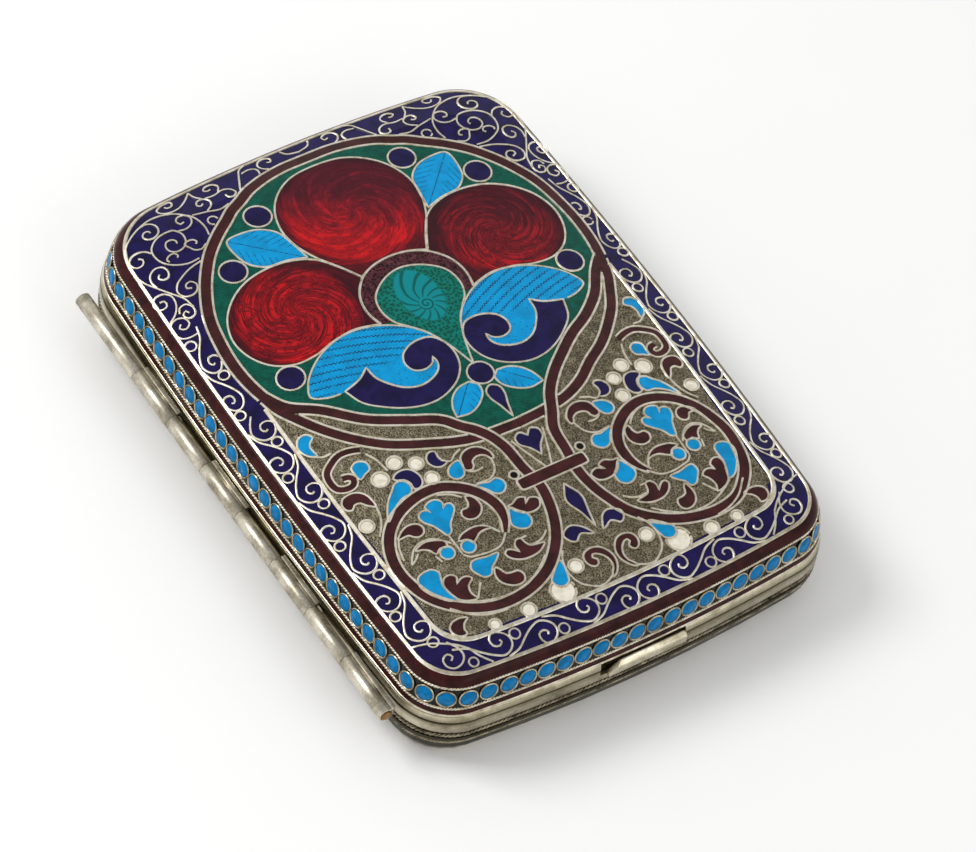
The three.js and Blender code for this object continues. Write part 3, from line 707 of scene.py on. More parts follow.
def leaf_veins(at):
    """A rib down each leaf's middle, and short veins that leave it at a slant."""
    x, y = at.use(fold).values()
    half = math.sqrt(0.5)
    high = y.math("GREATER_THAN", 10.0)
    rising, falling = y + x, y - x
    along = high.choose(falling, rising) * half
    aside = abs(high.choose(rising + 2.2, falling - 17.0) * half)
    slanted = (along + aside * 0.8).math("PINGPONG", 0.6)
    vein = slanted.span(0.05, 0.13, 1, 0) * aside.span(0.9, 1.5)
    rib = aside.span(0.06, 0.14, 1, 0)
    yield at.noise(5.0, 1.0).span(0.5, 0.7) * 0.35, "0a9ce4", 0.0
    yield rib.greater(vein) * at.noise(2.2, 2.0).span(0.36, 0.5, 0, 0.85), "10426a", -0.8


def petal_strokes(x, y, edge, turn, lit, bright, dark, light="c9161a", shadow="521021", engraving=0.85, streaks=0.35):
    """Brushwork of a petal about its middle: the glow at which it is bright, and that at which it is dark."""

    def strokes(at):
        out = at.use(petal, Middle=(x, y, 0), Lit_side=(*lit, 0), Turn=turn, Edge=edge)
        yield out["Glow"].span(bright, bright + 0.35, 0, 0.9), light, 0.0
        yield out["Glow"].span(dark, dark - 0.45, 0, 0.9), shadow, -0.2
        yield out["Light"] * streaks, light, 0.3
        yield out["Shade"] * streaks, shadow, 0.0
        yield out["Strokes"] * engraving, "360813", -0.8
        yield out["Margin"] * 0.85, "2b0f18", -0.4

    return strokes


def shell_ribs(at):
    """A shell of ribs round a spiral eye, in a leaf with stipple about it."""
    eye = (0.2, 11.3, 0)
    ribs = at.use(whorl, Middle=eye, Pitch=3.4, Arms=12.0, Waver=0.3)
    spiral = at.use(whorl, Middle=eye, Pitch=0.75, Arms=1.0)["Line"]
    line = ribs["Reach"].span(1.25, 1.45).choose(spiral, ribs["Line"] - 0.3)
    leaf = at.vector_math("MULTIPLY", (1.0, 0.62, 0.0)).out_from((0.2, 8.18, 0))[2].span(3.3, 3.6, 1, 0)
    yield leaf * 0.8, "058790", 0.3
    yield at.dots(1.7, "2D").span(0.28, 0.46, 1, 0) * (0.75 - leaf * 0.75), "043a30", -0.8
    yield leaf * line.span(0.15, 0.7, 0, 0.9), "044a42", -1.0


def engine_lines(at):
    x, y, _ = at.parts()
    line = ((y + x * 0.3) * (TURN / 0.55)).math("SINE")
    yield line.span(0.1, 0.9) * (at.noise(2.5, 2.0).span(0.4, 0.55) * 0.6), "043a2f", -0.6
    yield at.noise(0.25, 2.0).span(0.45, 0.65) * 0.4, "053f36", 0.0


def punched_dots(at):
    yield at.dots(1.6, "2D").span(0.22, 0.36, 1, 0), "12070b", -1.2
    yield at.noise(1.6, 2.0).span(0.5, 0.65) * 0.5, "6d4048", 0.0


def stray_flecks(at):
    x, y, _ = at.parts()
    yield vector(x * 0.8, y * 1.9).dots(0.7).span(0.05, 0.1, 1, 0), "120e30", -0.8


def punched_ground_with_glints(at):
    yield at.noise(0.35).span(0.4, 0.7) * 0.55, "544d3c", 0.0
    yield at.dots(2.7, "2D").span(0.15, 0.5, 1, 0) * 0.9, "211c13", -1.4
    # painted glints: pale flecks standing for light caught by the punched ground
    yield at.noise(5.5, 1.0).span(0.58, 0.68) * 0.5, "ded5bd", 0.6


def scratched(at):
    yield at.use(scratches)["Mask"], "8b8371", -0.4


def scratched_and_shaded_rim(at):
    yield from scratched(at)
    out = at.use(parting_shade_and_low_darkening)
    # painted shade: near-black along the parting between lid and base
    yield out["Black"], "1f1a11", -0.4
    # an uneven darker olive band about the parting
    yield out["Smear"], "5d553f", 0.0
    # darker from the base's rim down towards its foot, fading out again underneath
    yield out["Low"], "231f13", 0.0


silver = metal("silver", "e9e1cd", "aca187", 0.27)
rim_silver = metal("rim_silver", "cfc6ab", "928a6e", 0.22, 300.0, 0.1, scratched_and_shaded_rim)
base_silver = metal("base_silver", "c9c0a8", "7b725b", 0.24, 200.0, 0.12, scratched_and_shaded_rim)
plate_silver = metal("push_plate_silver", "e9e1ca", "b0a586", 0.24, 500.0, 0.12, scratched)
hinge_silver = metal("hinge_silver", "d9d2c0", "857c67", 0.28, 300.0, 0.14, scratched)
looking_glass = metal("looking_glass", "eceff0", "e2e6e8", 0.01, 90.0, 0.0, spread=0.02)
wire_silver = metal("wire_silver", "fbf5e6", "c2b799", 0.36, 900.0, 0.3)
ring_silver = metal("pellet_ring_silver", "c4ba9f", "665e48")
dark_silver = metal("dark_silver", "a79d84", "2c271c", 0.35)
gilt = metal("gilt", "d0a862", "b68c4c", 0.34, 250.0)
brass = metal("brass", "b98f56", "6f5230")
ground_metal = metal("stippled_ground", "9e947b", "554d3b", 0.42, 900.0, 0.9, punched_ground_with_glints)
border_blue = enamel("border_blue_enamel", "1d154f", "120d35")
deep_blue = enamel("deep_blue_enamel", "1d1749", "130f35", pattern=stray_flecks)
sky_blue = enamel("light_blue_enamel", "0493d0", "0480b4")
wing_blue = enamel("wing_blue_enamel", "0296d2", "0286bb", pattern=wing_rows)
leaf_blue = enamel("leaf_blue_enamel", "0296d2", "0286bb", pattern=leaf_veins)
maroon = enamel("maroon_enamel", "452022", "301717")
band_maroon = enamel("band_maroon_enamel", "3f1c1b", "2a1212", shine=0.08)
collar_maroon = enamel("dotted_maroon_enamel", "4f262d", "371a21", pattern=punched_dots)
left_strokes = petal_strokes(-18.6, 19.0, 9.4, 0.42, (-0.2, -0.1), 0.55, 0.4)
right_strokes = petal_strokes(19.2, 19.4, 9.4, -0.42, (-0.3, -0.4), 0.62, 0.56, "b8141c", "4c0e1d")
top_strokes = petal_strokes(0.5, 33.4, 11.0, 0.3, (-0.4, -0.7), 0.56, 0.6, "c8161a", "4c1020", 0.6, 0.18)
left_red = enamel("left_petal_enamel", "c0151a", "a1131b", 200.0, left_strokes)
right_red = enamel("right_petal_enamel", "961420", "74101d", 200.0, right_strokes)
top_red = enamel("top_petal_enamel", "9c1420", "7e1020", 150.0, top_strokes)
green = enamel("green_enamel", "055a49", "04453a", 900.0, engine_lines)
teal = enamel("teal_enamel", "02766b", "066655", 600.0, shell_ribs)
turquoise = enamel("turquoise_enamel", "067cba", "05689c", 900.0, shine=0.08)
white_enamel = enamel("white_enamel", "eae5d6", "d6ceb9", 900.0)
pellet_ground = enamel("pellet_ground_enamel", "1a1512", "0d0b09", 900.0)

# ---------------------------------------------------------------- drawn lines of the lid's field
RING = places(
    "0.2 46.1, -4.6 46, -9.2 45.1, -11.5 44.3, -14 42.9, -16 41.9, -18 40.4, -20 39, -22 37.4, -24 35.5,"
    "-25.7 33.4, -27.3 31.1, -28.5 29, -30.1 25.5, -31.3 20, -31.7 15, -31.3 10, -30.9 8"
)
LEFT_INNER_STRAP = places(
    "-30.9 8, -29.3 4.9, -25 1.3, -19.7 -4, -14.3 -7.3, -9.7 -10, -8.1 -12, -6.15 -14, -4.9 -16, -4.2 -18, -3.65 -23,"
    "-3 -27, -3.5 -30.3, -4.8 -34, -6 -36.1, -7.6 -38, -10 -40, -13.3 -41.5, -18 -42.2, -20.3 -42, -23.3 -41,"
    "-26.3 -39, -28.7 -36, -29.8 -32.7, -30.1 -29.7, -29.3 -26, -27.7 -23.3, -25.3 -21.3, -22.7 -20.2, -19.7 -19.7,"
    "-17 -20, -14.7 -21.2, -12.7 -23, -11.3 -25.3, -10.8 -27.7, -11.2 -29.7, -12.3 -31.7"
)
RIGHT_INNER_STRAP = places(
    "31.3 8, 30.2 7, 29 5.7, 25.7 1.3, 21.7 -2, 17.7 -4.3, 14 -7, 10.7 -9.7, 8 -12.7, 6.2 -16, 4.8 -18.5, 4.2 -23,"
    "3.8 -27.7, 4.3 -30.7, 5.2 -33.3, 7 -36.7, 9.7 -39.3, 13 -41.2, 16.3 -42.2, 20.3 -42.5, 23.7 -41.7, 26.3 -39.7,"
    "28.3 -37, 29.3 -33.7, 29.6 -30.3, 29 -27.3, 27.7 -24.3, 25.7 -22, 23 -20.5, 20.3 -20, 17.7 -20.5, 15.3 -21.8,"
    "13.3 -23.7, 12.3 -25.7, 12.1 -28, 12.8 -30.3, 14 -32"
)
LEFT_OUTER_STRAP = places(
    "-31 8, -30.2 4.7, -28.7 1.7, -26 -2.7, -23.3 -6, -19.7 -9.3, -14.3 -12.3, -8.3 -14.7, -4.6 -15.3, 0.2 -15.6"
)
RIGHT_OUTER_STRAP = places(
    "31.3 8, 29.8 3.3, 28.7 1.3, 26.7 -2, 24.3 -4.7, 21 -7.7, 17 -10.3, 13.7 -12.7, 10.3 -14.3, 5 -15.3, 0.2 -15.6"
)
TOP_PETAL = places(
    "0.3 44, -5 43.2, -9.7 39.4, -11.6 34.2, -11.3 30.5, -9.9 26.9, -7.6 23.2, -5.8 20 !, -3.5 21,"
    "0.3 21.6"
)
TOP_PETAL_MIRROR = 0.6  # twice the top petal's middle
SIDE_PETAL = (
    "-5.8 20 !, -7.7 23.3, -10.4 26.7, -14 28.4, -18 28.8, -22 28.1, -25.7 26, -28.3 23, -29.5 19, -28.9 15.5,"
    "-26.5 12,"
    "-23.5 10.5, -20 10.4, -16.3 11.3, -12.5 11.6, -8.5 10.6 !, -8.9 13.3, -8.3 16.5"
)
COLLAR = places("-8.3 10.4, -8.9 13.3, -8.3 16.6, -6 19.6, -3.5 21, 0.3 21.6")
DROP = places("0.2 18.8, -4 17.4, -6.4 15, -6.9 12.3, -6.2 9.7, -4.6 7.8, -3 5.8, -1.5 2.8, -0.6 0, 0.2 -2.9")
WING = (
    "-24.9 3.9, -24 6.3, -22 8.4, -18.5 10.5, -13.5 11.5, -9.5 10.7, -5.3 8.3, -3.2 6.2, -2.3 4.7 !, -4 -1.5, -9 -2.7,"
    "-14 -1, -14.8 4.4 !, -16.3 3.3, -19.8 2.2, -23.3 2.8"
)
VOLUTE = (
    "-14.8 4.4 !, -16.5 3.2, -19.9 2.2 !, -18.7 -1, -16.3 -3.3, -13.7 -5, -11 -6, -8.3 -6.2, -5.7 -5.5, -3.3 -4,"
    "-1.8 -2, -1.2 0.3, -1.5 2.7, -3 4.7, -5 5.1, -7 4.7, -8.6 3.6, -9.2 2, -8.7 0.4, -7 -0.3, -5.3 0.3, -4.7 1.3 !,"
    "-4.6 0, -5.2 -1.2, -7 -2.3, -9.3 -2.6, -11.5 -1.8, -13.3 0, -14.5 2"
)
LEAVES = """
    -20.1 36.7, -17.5 37, -14.5 36.3, -12.3 34.3, -11.6 31.5, -11 27.6 !, -14 28.6, -17.9 29.3, -19.6 30.9, -20.4 33.5;
    -2.4 -5.5 !, -4.3 -5.7, -6.3 -7, -7.3 -8.7, -7.6 -10.4 !, -5.3 -10.7, -3 -9.7, -1.5 -8, -1.3 -6.7
""".split(";")
DISCS = [(-13.2, 38.8, 2.25), (-22.5, 30.9, 2.25), (-25.6, 8.75, 2.25)]
MIDDLE_DISC = (0.2, -4.85, 2.15)
CORNER_RINGS = [(-19.7, 41.5, 0.85), (-28.6, -48.6, 0.75), (-35.25, 22.2, 0.9)]

LIGHT_BLUE_CELLS = """
    -29.2 -1.3, -30.2 -1.3, -31.1 -2.1, -31.4 -3.1, -31.1 -4.4, -30.25 -5.4, -29.6 -5.6, -29.7 -4.6, -29.7 -3.7,
    -29.3 -3, -28.5 -2.4;
    -24.1 -10.4, -25.3 -9.7, -26.5 -10.3, -26.6 -11.4, -26.3 -12.8, -25.3 -12.3, -24.2 -11.9;
    -26.7 -21.4, -26 -19.9, -24.4 -17.8, -23.3 -16.9, -22.6 -16.2, -21.5 -16, -20.7 -16.7, -20.5 -17.8, -21 -18.7,
    -22.6 -18.9, -24.4 -19.75;
    -11.8 -17.2, -12.85 -17.3, -14 -18, -14.4 -18.9, -14.05 -19.8, -13.2 -20.2, -12.3 -19.9, -11.8 -18.9;
    -11.8 -22.3, -10.7 -22.5, -9.6 -22.8, -8.5 -22.6, -7.7 -23.3, -7.6 -24.3, -8.2 -25.1, -9 -25.4, -9.8 -25.1,
    -10.7 -23.8;
    -9.3 -28.2, -10.3 -29.7, -10.7 -31, -9.8 -32.2, -8.5 -32.5, -7.5 -31.7, -7.5 -30.3, -8.5 -29.2;
    -20.2 -28, -20.8 -26.8, -21.4 -25.4, -22.3 -24.2, -22.4 -23, -21.6 -22.4, -20.7 -22.6, -20.4 -23.2 !, -20.7 -22,
    -19.8 -21.5, -18.8 -21.5, -18 -22.2, -18 -23, -18.4 -23.6 !, -17.6 -23, -16.9 -23.3, -16.8 -24.2, -17.6 -25.2,
    -18.8 -26.4, -19.6 -27.8;
    -27 -31.8, -28.2 -32.2, -28.8 -33.6, -28.4 -35.2, -27.4 -36.8, -26 -38.2, -25.2 -38.4, -25.6 -36.6, -25.7 -35.2,
    -25.3 -34, -25 -32.8, -25.6 -32;
    -19.8 -33.8, -20.4 -34.8, -20 -36, -19.2 -37, -18.2 -37, -17.4 -36, -16.2 -35.2, -15.2 -34.2, -17 -34;
    -7.5 -39.5, -7.4 -40.6, -7.7 -42, -8.2 -43.3, -9.4 -43.7, -10.4 -43, -10.6 -42.2, -9.7 -41.2, -8.45 -40.1
""".split(";")
MAROON_CELLS = """
    -31.1 -15.1, -30.6 -14.4, -29.5 -14.1, -28.3 -14.3, -27.2 -15.3, -26.8 -16.7, -26.9 -18.1, -27.6 -17.6,
    -28.1 -17.1, -28.6 -16.35, -29.5 -16.2, -30.2 -16.8, -30.9 -16.5;
    -11.7 -19.3, -11.55 -18.1, -11.2 -17, -10.25 -16.3, -9.1 -16.1, -8 -16.4, -7 -17.3, -6.5 -18.5, -6.7 -19.4,
    -7.1 -19.3, -7.5 -18.5, -8.3 -18, -9.3 -18.05, -9.95 -18.5, -10.1 -19.1, -10.65 -19.7;
    -9.5 -27.9, -8.7 -27.8, -7.3 -27.2, -6.3 -27.7, -6.8 -28.7 !, -5.7 -28, -4.5 -28.7, -5 -30, -6.7 -30.4,
    -8.3 -29.7, -9.3 -28.3;
    -27.2 -25, -26 -23.9, -24.4 -23.5, -23.1 -24.1, -22.8 -25, -23.2 -25.8, -24.1 -26.1, -24.9 -25.7, -25.4 -25.1,
    -26.3 -25;
    -14.3 -23.3, -14.5 -24.4, -14.9 -25.1, -16.1 -25.2, -16.55 -26, -16.1 -27, -14.9 -27.4, -13.8 -27, -13 -25.9,
    -13 -24.7, -13.65 -23.5;
    -26 -28, -24.3 -27.3, -22.6 -27.7, -21.2 -28.8, -21.4 -29.6, -22.6 -29.4, -23.6 -30, -24.1 -29, -25 -28.3;
    -19.4 -29.6, -18.6 -28.9, -17.4 -28.6, -15.7 -28.6, -14.4 -29.2, -13.7 -30, -14.6 -29.8, -15.8 -29.9,
    -16.9 -30.6, -17.6 -30.9, -18 -30.1;
    -24.8 -38.6, -25.5 -36.8, -25.6 -35.2, -24.9 -34.2, -23.7 -34.1, -23.1 -34.8, -23.7 -36 !, -22.9 -35.5,
    -21.9 -35.4, -21.1 -36.1, -22.3 -37.1, -22.6 -38.6, -22.2 -39.6, -23.6 -39.4;
    -17 -36.2, -17.7 -37.2, -17.7 -38.6, -16.8 -39.8, -15.4 -40.4, -14.2 -40.2, -13.7 -39.2, -14.2 -38.2,
    -15.2 -38.1, -16.1 -37.8, -16.5 -36.8;
    -14.4 -34.9, -13.8 -34.4, -12.9 -34.8, -12.2 -35.6 !, -12.3 -34.4, -11.6 -33.5, -10.8 -33.6, -10.6 -34.4,
    -10.2 -35.2, -8.8 -35.6, -7.9 -35.8, -9 -36.7, -11 -37.1, -13 -36.7, -14.1 -35.8;
    -28.9 -42.2, -28.3 -41.6, -26.9 -41.3, -25.5 -41.8, -26.5 -42.5, -27 -43.4, -27 -44.2, -28 -44.3, -28.8 -43.6;
    -4.1 -41.4, -3.7 -40.3, -2.9 -39.9, -1.9 -39.8, -0.8 -40.2, 0 -41.1, 0.45 -42.3, 0.35 -43.5, -0.2 -44.6,
    -1 -45.4, -1.6 -45.6, -1.2 -44.8, -0.6 -44, -0.5 -42.9, -0.9 -41.9, -1.6 -41.2, -2.4 -40.9, -2.7 -41.4,
    -2.2 -41.9, -2.3 -42.5, -2.9 -42.9, -3.6 -42.6, -4 -42
""".split(";")
MARGIN_SCROLL = (
    "-23.6 -8.1, -25.1 -7.5, -26.9 -7.3, -28.6 -8, -30.1 -9.2, -30.5 -10.8, -30.2 -12.4, -29 -13.1, -27.75 -13,"
    "-27.2 -12.1, -27.75 -11.4, -28.6 -11.2"
)
DARK_BLUE_CELLS = """
    -22.1 -15.3, -21.5 -14.7, -20.4 -14.5, -19.2 -14.9, -18.4 -16.2, -18.3 -17.4, -18.8 -18.3, -19.9 -18.6,
    -20.3 -18.3, -20.25 -17.4, -20.8 -16.2, -21.7 -15.8;
    -14 -14.1, -14.8 -13.8, -15.9 -14.75, -15.95 -15.7, -15.4 -16.6, -14.3 -17, -13.3 -16.6, -13.9 -16, -14.1 -15.2;
    -0.15 -37.8, -0.7 -36.7, -1.7 -35.6, -2.8 -35.1, -3.9 -35.4, -4.7 -36.2, -4.5 -37, -3.9 -37.75, -3.3 -37.9,
    -2.65 -37.35, -2 -37, -1 -37.5
""".split(";")
MIDDLE_CELLS = """
    0.3 -18.2 !, 1.3 -17.2, 2.4 -17.8, 2.5 -19, 1.2 -20.5, 0.3 -22.2 !, -0.6 -20.5, -1.9 -19, -1.8 -17.8,
    -0.7 -17.2;
    0.45 -28.2 !, 1.8 -31.2, 1.3 -34, 0.75 -36.9 !, 0.1 -34, -0.9 -31.2;
    0.2 -7.5, -1 -8.3, -1.1 -9.7, -0.5 -11.5, 0.2 -14.2 !, 0.9 -11.5, 1.5 -9.7, 1.4 -8.3
""".split(";")
WHITE_DOTS = [
    (-5.8, -41.5, 1.1), (-16.4, -44.8, 1.1), (-22.4, -44.7, 0.85), (-29.9, -20.4, 1.05), (-20.4, -12.8, 1.1),
    (-17.6, -14.6, 1.05), (-16.9, -18, 1.05), (-9.9, -44.3, 1.95), (-23.8, -14.3, 1.25),
]
BERRIES = [(-22, -30.6, 1.0), (-18.6, -31.15, 1.0)]
BLACK_DOTS = [(-5.6, -23.5, 0.6), (6.5, -23.5, 0.6)]
FIELD_LINES = """
    -12.3 -31.7, -14 -33.2, -16.2 -33.5, -18 -33.2, -19.4 -32.8, -20.1 -32;
    -30.25 -5.4, -28.9 -6.3, -27.7 -6.3;
    -25 -38.6, -22.7 -40, -20 -40.9, -17 -41.2, -14 -40.8, -11.3 -39.5, -9 -37.8;
    -27 -39.2, -24.4 -41.8, -22 -42.9, -19.2 -43.3;
    -6.2 -38.3, -7 -39.5, -7.5 -42, -7.3 -43.3, -6.7 -44.5, -5.5 -45.5, -4.3 -46.1, -2.8 -45.9, -1.7 -45.4;
    -23.3 -9.2, -22.6 -10.6, -22 -13.5;
    -26.9 -18.1, -27.2 -19.75, -28.2 -21.7, -29.3 -23;
    -13.3 -16.6, -12.7 -16.8, -11.9 -16.2, -10.4 -15.6;
    -11.6 -19.4, -10.9 -20, -9.95 -20.2, -9.1 -20.1;
    -7.1 -19.4, -7.3 -20.4, -7.85 -21.5, -9 -22.3, -11.5 -22.2;
    -27.2 -25, -27.9 -26.4, -28.4 -28.6;
    -18 -21, -16 -22, -14.8 -23.2;
    -27.8 -29.8, -27 -28.6, -25.8 -27.4, -24.2 -27, -22.6 -27.4, -21.4 -28.4, -20.6 -29.4;
    -27.8 -29.8, -26.8 -29.3, -26 -28.6;
    -23.9 -30.2, -23.5 -31.6;
    -13.7 -30, -13 -31.2;
    -22.2 -39.6, -21.2 -38.4, -20.4 -37.4;
    -10.8 -33.6, -9.8 -33.6;
    -10.2 -35.2, -8.8 -35.3, -7.5 -34.9, -6.5 -34.1;
    -2.6 -18, -1.6 -21, -0.3 -24.4;
    -20.1 -31.9, -20.2 -28
""".split(";")
CORNER_LINES = """
    -21.9 38.8, -21.5 41.1, -22 43.4, -23 44.7, -24.4 45.9, -26 46.5, -28 46.7, -30.3 46.1, -32.5 45, -34.4 43.4,
    -35.4 41.3, -35.7 39, -35.3 36.5, -34.1 34.3, -32.8 32.2, -31.6 30.2, -31.2 28.1;
    -30.7 46, -28.9 46.1, -28 45.2, -28.2 43.8, -29.4 43, -30.5 43.25, -30.9 44, -30.4 44.7, -29.6 44.7, -29.4 44.2;
    -25.6 35.9, -27.5 35.8, -28.9 36.2, -30.7 37.45, -31.4 39.3, -31.2 40.9, -30 42.2, -28 42.9, -26.2 42.6,
    -25.4 41.3, -25.6 40, -26.6 38.9, -28 38.7, -28.9 39.3, -29 40.4, -28.45 41.1, -27.4 41.1, -27 40.6, -27.1 40.1;
    -31.5 40.5, -32.1 41.3, -33.2 41.8, -34.6 41.5, -35.3 40.4, -34.7 39.3, -33.7 39.3, -33.2 40.2, -33.7 40.7;
    -34 34.4, -34.25 35.6, -33.8 36.9, -32.5 37.6, -31.4 37.2, -31.1 36.1, -31.6 35.1, -32.5 35.1, -32.95 35.75,
    -32.5 36.3;
    -25.6 42.2, -24.4 42, -23 42.6, -22.5 43.8, -23.1 44.7, -24.4 44.7, -24.9 44, -24.6 43.25, -23.9 43.4;
    -23.2 37.9, -24.4 37.3, -25.3 37.6, -25.8 38.4, -26.2 39.4, -25.5 39.7, -24.6 39.6, -24.2 39, -24.6 38.6;
    -30 37.45, -30.2 37.9, -29.6 38.5, -28.6 38.6, -28.2 38, -28.5 37.6;
    -25.7 35.3, -28 34.8, -29.8 34, -31.4 32.9, -31.9 31.8, -31.2 30.4, -30 30.2, -28.9 30.9, -28.6 31.8,
    -29.25 32.6, -30.2 32.3, -30.3 31.7, -29.6 31.4;
    -22 44, -21 43.8, -19.4 43.5, -17.5 43, -15.7 43.4;
    -19.4 43.7, -18.2 44.5, -17.9 45.6, -18.7 46.4, -19.8 46.3, -20.2 45.5, -19.7 45.1, -19.2 45.4;
    -18.2 46.3, -16.6 46.2, -14.8 46.6, -13.7 46.1, -13.3 45.2, -14.1 44.4, -14.9 44.7, -15 45.4;
    -19.8 48.8, -19.5 47.5, -18.7 46.5;
    -15.7 46.5, -15 47.9, -15.5 48.5, -16.9 48.6, -17.5 48, -17.1 47.6, -16.4 47.7;
    -19.8 48.8, -21.2 47.5, -23 46.5, -24.6 46.4, -25.8 46.9, -26.2 47.7, -25.6 48.25, -23.2 48.25, -23.5 47.6,
    -24.4 47.5, -24.7 47.9;
    -12.7 44.7, -11.9 46.2, -11 47.9, -10.3 49.1, -8.5 50;
    -10.3 48.3, -8.7 48.5, -7.8 48, -7.7 47.3, -8.2 46.3, -9.2 46.1, -9.9 46.75, -9.4 47.4;
    -2.5 49.1, -2.8 48, -3.7 47.1, -5.1 46.9, -6.7 47.4, -7.2 48.5, -6.7 49.25, -5.5 49.5, -4.6 49, -4.9 48.3,
    -5.5 48.5;
    -2.4 49.6, -1.9 48.7, 0.2 48;
    -35.8 27.5, -34 28.8, -33.1 30.4, -33.1 32, -34 32.9, -35.4 32.9, -36.1 31.8, -35.7 30.5, -34.5 30.6, -34.4 31.6,
    -35.1 31.8;
    -33 23.7, -34 23.6, -35.6 24.1, -36.2 25.5, -36 27, -34.7 27.7, -33.5 27.2, -33.3 25.9, -34.2 25.3, -35 25.9,
    -34.5 26.5;
    -33.6 28.2, -33.2 29.1, -32 29.3, -31.3 28.2, -31.7 26.9, -32.9 26.8, -33.3 27.7, -32.6 28.2, -32.3 27.6;
    -35.6 -41.8, -32.9 -42.8, -30.8 -44.1, -29.4 -45.1, -28.1 -46.4;
    -30.6 -43.9, -29.4 -45.9, -29.4 -47.1, -30.25 -48, -31.7 -48.2, -32.6 -47.3, -32.4 -46, -31.5 -45.7, -31 -46.4,
    -31.5 -46.9;
    -28.1 -46.4, -27 -48.4, -25.8 -49.8
""".split(";")

# ---------------------------------------------------------------- the border's running scroll
BORDER_OUTER, BORDER_WIDTH = 1.95, 4.6
NARROW_WIDTH, NARROW_END = 3.7, -8  # beside the medallion, up to this length along the side
CURL = (
    (-6.9, 0.3), (-4.85, 0.95), (-3, 2.35), (-1.45, 3.35), (0.15, 3.85), (1.3, 3.35), (2, 2.45), (2, 1.35),
    (1.1, 0.35), (-0.3, 0.05), (-1, 0.85), (-0.9, 1.9), (0, 2.25), (0.6, 1.75), (0.4, 1.35),
)
CURL_RING = (3.1, 1.3, 0.85)  # how far along and across the ring beside a curl sits, and its radius
# where each curl of the border sits, and whether it opens inwards
LEFT_CURLS = [(-17.9, 1), (-10.2, 0), (-3.1, 1), (3.4, 0), (10.3, 1), (18, 0), (25.5, 1), (33, 0), (39.8, 1)]
RIGHT_CURLS = [(-18.2, 1), (-10.5, 0), (-3.1, 1), (4, 0), (11.4, 1), (18.9, 0), (26.3, 1), (34, 0), (40.6, 1)]
FRONT_CURLS = [(-23.6, 1), (-16.2, 0), (-8.4, 1), (-1.6, 0)]
RIGHT_FRONT_CURLS = [(-22.6, 1), (-15.7, 0), (-8.2, 1), (-1.6, 0)]
FRONT_MIRROR = 1.1


def on_side(along, inset):
    y = DRAWING_LIFT - along
    return -(SIDE_CENTRE + math.sqrt((SIDE_RADIUS - inset) ** 2 - y**2)), y


def on_right_side(along, inset):
    x, y = on_side(along, inset)
    return -x, y


def on_front(along, inset):
    return along, -(END_CENTRE + math.sqrt((END_RADIUS - inset) ** 2 - along**2))


def on_right_front(along, inset):
    x, y = on_front(along, inset)
    return FRONT_MIRROR - x, y


def running_scroll(curls, place):
    """The curls' lines, and the rings beside them."""
    at_side = place in (on_side, on_right_side)
    lines, rings = [], []
    for at, flipped in curls:
        room = NARROW_WIDTH if at_side and at < NARROW_END else BORDER_WIDTH
        tail = 2 if at_side and NARROW_END < at < 0 else 0

        def spot(along, across):
            across = BORDER_WIDTH - across if flipped else across
            return place(at + along, BORDER_OUTER + across * room / BORDER_WIDTH)

        lines.append([(*spot(*point), False) for point in CURL[tail:]])
        along, across, radius = CURL_RING
        if at_side or at + along < 0:
            rings.append((*spot(along, across), radius))
    return lines, rings


scroll_lines, scroll_rings = [], []
for curls, place in (
    (LEFT_CURLS, on_side), (RIGHT_CURLS, on_right_side), (FRONT_CURLS, on_front), (RIGHT_FRONT_CURLS, on_right_front)
):
    lines, rings = running_scroll(curls, place)
    scroll_lines += lines
    scroll_rings += rings

# ---------------------------------------------------------------- the lid's top
RING_WIDTH, STRAP_WIDTH, SCROLL_STRAP_WIDTH, MARGIN_SCROLL_WIDTH = 1.5, 1.3, 1.4, 1.1
STRAP_STEP = 0.25
STRAP_THINS = 18  # points over which a scroll strap thins out
STRAP_JOINTS = [(-30.9, 8.6, 0.74), (31.3, 8.6, 0.74)]  # where the ring and the straps meet at the sides
FIELD_END = 8.1  # the lower field ends under the ring
STRAPS_CROSS = -11.4  # the inner straps bound the medallion's ground down to here
OUTER_STRAPS_BOUND = 9  # and the outer straps this far either side of the middle
COLLAR_FOOT = 10.5
BAR_LEFT, BAR_RIGHT, BAR_LOW, BAR_HIGH, BAR_CORNER = -5.8, 6.2, -25.8, -23.95, 0.45


def runs_where(line, keep):
    """The unbroken runs of a line's points that are kept."""
    runs, run = [], []
    for point in line:
        if keep(point):
            run.append(point)
        elif run:
            runs.append(run)
            run = []
    return [r for r in runs + [run] if len(r) > 2]


def clear_of(line, over, reach):
    """The runs of a line that stay clear of a strap passing over it."""
    above = np.array(over)
    return runs_where(line, lambda p: np.min(np.hypot(above[:, 0] - p[0], above[:, 1] - p[1])) > reach)


def inside(point, shape):
    (x, y), hit = point, False
    for (ax, ay), (bx, by) in zip(shape, shape[1:] + shape[:1]):
        if (ay > y) != (by > y) and x < (bx - ax) * (y - ay) / (by - ay) + ax:
            hit = not hit
    return hit


def rounded_bar(inset=0.0):
    radius = BAR_CORNER - inset / 2
    points = []
    for x, y, start in (
        (BAR_RIGHT, BAR_HIGH, 0), (BAR_LEFT, BAR_HIGH, 90), (BAR_LEFT, BAR_LOW, 180), (BAR_RIGHT, BAR_LOW, 270)
    ):
        x += -(inset + radius) if x > 0 else inset + radius
        y += -(inset + radius) if y == BAR_HIGH else inset + radius
        for step in range(5):
            angle = math.radians(start + 22.5 * step)
            points.append((x + radius * math.cos(angle), y + radius * math.sin(angle)))
    return points


